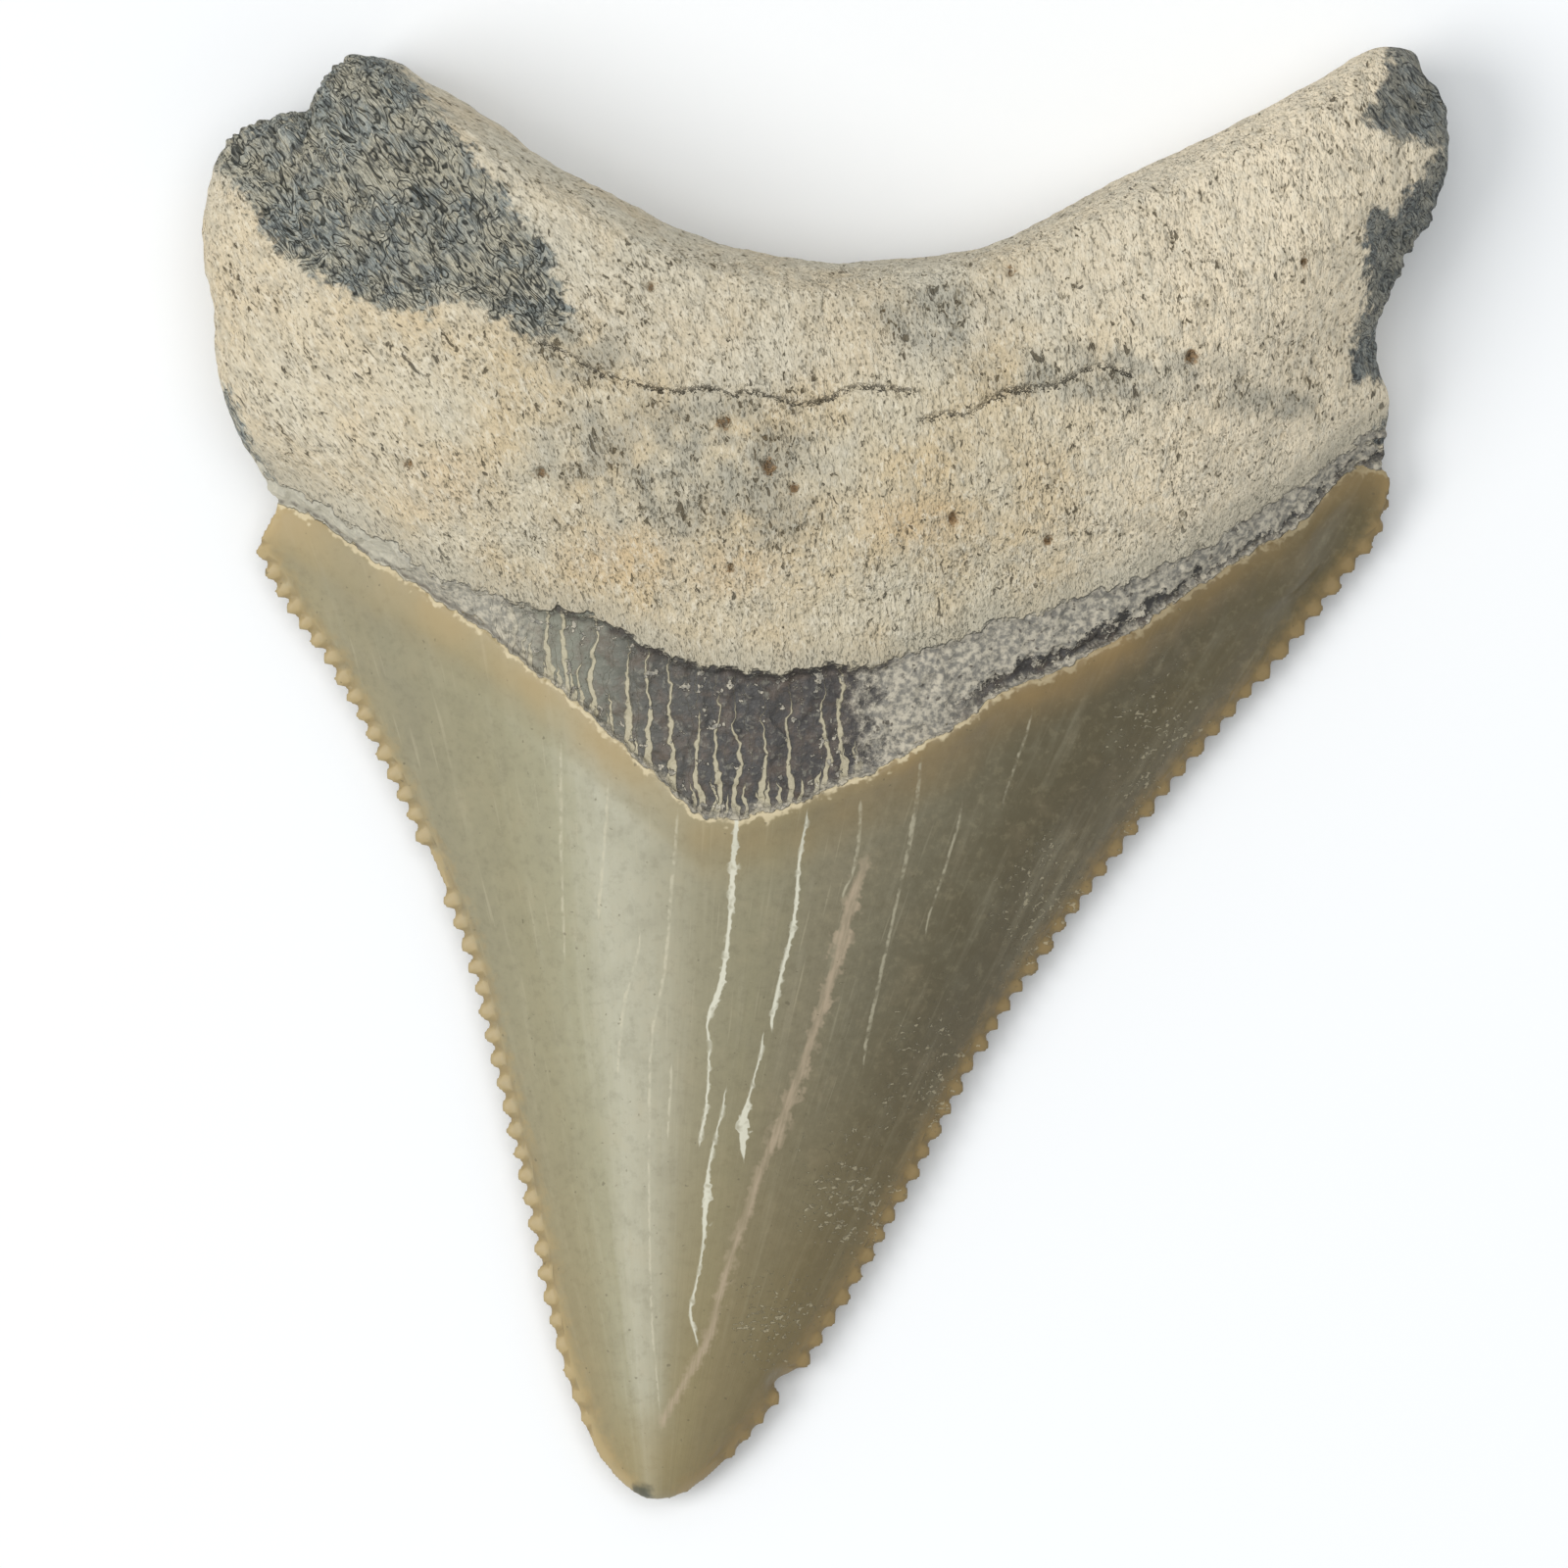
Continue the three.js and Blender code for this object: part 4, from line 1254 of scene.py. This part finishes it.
def root_pores(finish, colour, grain):
    """Pores of three sizes, closer together in some places, with the mask of them"""
    closer = finish.ease(finish.clouds(finish.place, 0.55, 2.0, 0.6), 0.35, 0.65, 0.035, -0.025)
    closer = finish.plus(finish.span(finish.value("grey"), 0.0, 1.0, 0.0, -0.05), closer)
    medium = finish.plus(finish.clouds(grain, 5.4, 2.0, 0.6, 0.6), closer)
    tiny = finish.ease(finish.plus(finish.clouds(grain, 12.0, 1.0), closer), 0.26, 0.4, 0.4, 0.0)
    large = finish.ease(finish.plus(finish.clouds(grain, 3.0, 2.0, 0.6, 0.8), closer), 0.26, 0.31, 1.0, 0.0)
    pore = finish.highest(finish.ease(medium, 0.27, 0.34, 1.0, 0.0), tiny, large)
    colour = finish.tint(colour, finish.ease(medium, 0.34, 0.44, 0.45, 0.0), ROOT["worn"])
    inside = finish.two_tone(finish.value("mottle"), ROOT["brown pore"], ROOT["grey pore"])
    return finish.blend(finish.times(pore, 0.9), colour, inside), pore


def root_cracks(finish, colour):
    """The hairline cracks and the pits, with the mask of the cracks"""
    jitter = finish.minus(finish.clouds(finish.place, 3.6, 3.0, 0.8), 0.5)
    wavering = finish.plus(finish.y, finish.times(jitter, 1.1))
    crack = draw_lines(finish, finish.x, wavering, CRACK_LINES, 0.045)
    crack = finish.times(crack, finish.ease(jitter, -0.12, 0.1, 0.1, 0.95))
    colour = finish.tint(colour, crack, ROOT["crack"])
    pit = finish.times(finish.near(PITS, 0.08, finish.times(jitter, 0.8)), finish.value("inner"))
    inside = finish.two_tone(finish.ease(jitter, -0.08, 0.08), ROOT["pale pit"], ROOT["dark pit"])
    return finish.blend(finish.times(pit, 0.8), colour, inside), crack


def root_layer(finish):
    """Pale porous root with greyer places, tan places, cracks and a few pits"""
    lean = finish.ease(finish.x, -18.0, 0.0, 0.55, 0.1)
    along = finish.plus(finish.x, finish.times(lean, finish.minus(finish.y, 10.0)))
    grain = finish.joined(along, finish.times(finish.y, 0.5), finish.times(finish.z, 0.7))
    fine = finish.clouds(grain, 2.4, 3.0, 0.7)
    thread = finish.clouds(grain, 6.0, 2.0, 0.7)
    colour, pore = root_pores(finish, root_ground(finish, fine, thread), grain)
    colour, crack = root_cracks(finish, colour)
    uneven = finish.times(finish.minus(fine, 0.5), 1.2)
    shelf = finish.ease(finish.plus(finish.value("above_root"), uneven), 0.2, 1.3, 1.0, 0.0)
    colour = finish.tint(colour, finish.times(shelf, 0.6), ROOT["shelf"])
    height = finish.plus(finish.times(fine, 0.32), finish.times(thread, 0.1))
    height = finish.minus(height, finish.times(pore, 0.1))
    return colour, 0.85, finish.minus(height, finish.times(crack, 0.15))


# Broken bone
def bone_layer(finish):
    """Curled strands that mostly run one way, with painted shade in the hollows and thin outlines between
    them, and pale strand tops that are partly their own colour and partly a painted highlight
    """
    turned = finish.laid(finish.place, turn=-math.atan2(STRAND_DIRECTION[1], STRAND_DIRECTION[0]))
    lying = finish.laid(turned, stretch=(0.4, 1.4, 1.0))
    straws = finish.laid(turned, stretch=(1.5, 5.2, 3.0))
    curls = finish.laid(turned, stretch=(0.62, 1.7, 1.3))
    swirl = finish.math("SINE", finish.times(finish.clouds(lying, 1.8, 2.0, 0.6, 0.4), 24.0))
    straw = finish.span(finish.clouds(straws, 1.0, 2.0, 0.55, 0.9), 0.32, 0.62, -1.0, 1.0)
    strand = finish.plus(straw, finish.times(swirl, 0.6))
    curl = finish.math("SINE", finish.times(finish.clouds(curls, 1.0, 1.0, 0.5, 1.6), 17.0))
    outline = finish.ease(finish.math("ABSOLUTE", curl), 0.1, 0.5, 1.0, 0.0)
    patchy = finish.clouds(finish.place, 0.9, 3.0, 0.6)
    speckle = finish.clouds(lying, 6.0, 2.0, 0.6)
    colour = finish.two_tone(finish.ease(patchy, 0.38, 0.62), BONE["grey strand"], BONE["tan strand"])
    colour = finish.tint(colour, finish.ease(speckle, 0.55, 0.68, 0.0, 0.8), BONE["pale speckle"])
    # Painted shade in the hollows between strands
    colour = finish.tint(colour, finish.ease(strand, -1.2, -0.1, 0.7, 0.0), BONE["hollow"])
    # Pale strand tops: partly their own paler colour, partly a painted highlight on the raised strands
    colour = finish.tint(colour, finish.ease(strand, 0.5, 1.1, 0.0, 0.5), BONE["pale strand and highlight"])
    # Painted shade in the thin gaps that outline the curls
    colour = finish.tint(colour, finish.times(outline, 0.9), BONE["outline"])
    colour = finish.tint(colour, finish.ease(speckle, 0.32, 0.42, 0.5, 0.0), BONE["dark speckle"])
    colour = finish.tint(colour, finish.ease(finish.x, 8.0, 12.0, 0.0, 0.4), BONE["right end"])
    height = finish.plus(finish.times(strand, 0.07), finish.times(speckle, 0.2), finish.times(patchy, 0.2))
    return colour, 0.75, finish.minus(height, finish.times(outline, 0.08))


# Layers over each other
LAYERS = {"enamel": enamel_layer, "band": band_layer, "root": root_layer, "bone": bone_layer}


def layer_share(finish, name):
    """Where a layer lies over those before it"""
    wander = finish.minus(finish.clouds(finish.place, 2.4, 2.0, 0.7), 0.5)
    if name == "band":
        return finish.ease(finish.plus(finish.value("above_enamel"), finish.times(wander, 0.35)), -0.03, 0.03)
    if name == "root":
        return finish.ease(finish.plus(finish.value("above_root"), finish.times(wander, 0.7)), -0.06, 0.06)
    bone = finish.ease(finish.plus(finish.value("broken"), finish.times(wander, 1.4)), -0.2, 0.2, 1.0, 0.0)
    return finish.times(bone, finish.ease(finish.value("above_root"), -0.05, 0.05))


def fossil_finish(name, layers):
    """A finish of one layer, or of several that follow each other across their feature lines"""
    finish = Finish(name)
    colour, roughness, height = LAYERS[layers[0]](finish)
    for layer in layers[1:]:
        share = layer_share(finish, layer)
        next_colour, next_roughness, next_height = LAYERS[layer](finish)
        colour = finish.blend(share, colour, next_colour)
        roughness = finish.between(share, roughness, next_roughness)
        height = finish.between(share, height, next_height)
    finish.put(finish.surface.inputs["Base Color"], colour)
    finish.put(finish.surface.inputs["Roughness"], roughness)
    finish.surface.inputs["Specular IOR Level"].default_value = 0.3
    bump = finish.add("ShaderNodeBump", {"Height": height, "Strength": 1.0, "Distance": MM})
    finish.put(finish.surface.inputs["Normal"], bump.outputs[0])
    return finish.material


# Floor and light, in metres
FLOOR_SIZE = 3
FLOOR_GAP = 0.02 * MM
PAPER = (0.9, 0.9, 0.9, 1)
PAPER_ROUGHNESS = 0.9
LAMPS = {"window": ((-0.5, -0.05, 0.6), 0.5, 3.0), "ceiling": ((0.05, 0.15, 1.0), 0.9, 4.0)}
ROOM_LIGHT = (0.9, 0.96, 1.0, 1)
ROOM_STRENGTH = 0.47


def add_floor():
    bpy.ops.mesh.primitive_plane_add(size=FLOOR_SIZE, location=(0, 0, -FLOOR_GAP))
    floor = bpy.context.object
    floor.name = "floor"
    paper = bpy.data.materials.new("paper")
    paper.use_nodes = True
    surface = paper.node_tree.nodes["Principled BSDF"]
    surface.inputs["Base Color"].default_value = PAPER
    surface.inputs["Roughness"].default_value = PAPER_ROUGHNESS
    floor.data.materials.append(paper)


def add_lamp(name, place, size, power):
    """A round lamp that points at the tooth"""
    lamp = bpy.data.lights.new(name, "AREA")
    lamp.shape = "DISK"
    lamp.size = size
    lamp.energy = power
    holder = bpy.data.objects.new(name, lamp)
    holder.location = place
    holder.rotation_euler = (-Vector(place)).to_track_quat("-Z", "Y").to_euler()
    bpy.context.scene.collection.objects.link(holder)


def add_light():
    for name, (place, size, power) in LAMPS.items():
        add_lamp(name, place, size, power)
    world = bpy.data.worlds.new("room")
    world.use_nodes = True
    background = world.node_tree.nodes["Background"]
    background.inputs["Color"].default_value = ROOM_LIGHT
    background.inputs["Strength"].default_value = ROOM_STRENGTH
    bpy.context.scene.world = world
    bpy.context.scene.view_settings.view_transform = "Standard"


add_camera()
bpy.ops.object.select_all(action="DESELECT")
make_tooth()
add_floor()
add_light()

bpy.context.view_layer.update()
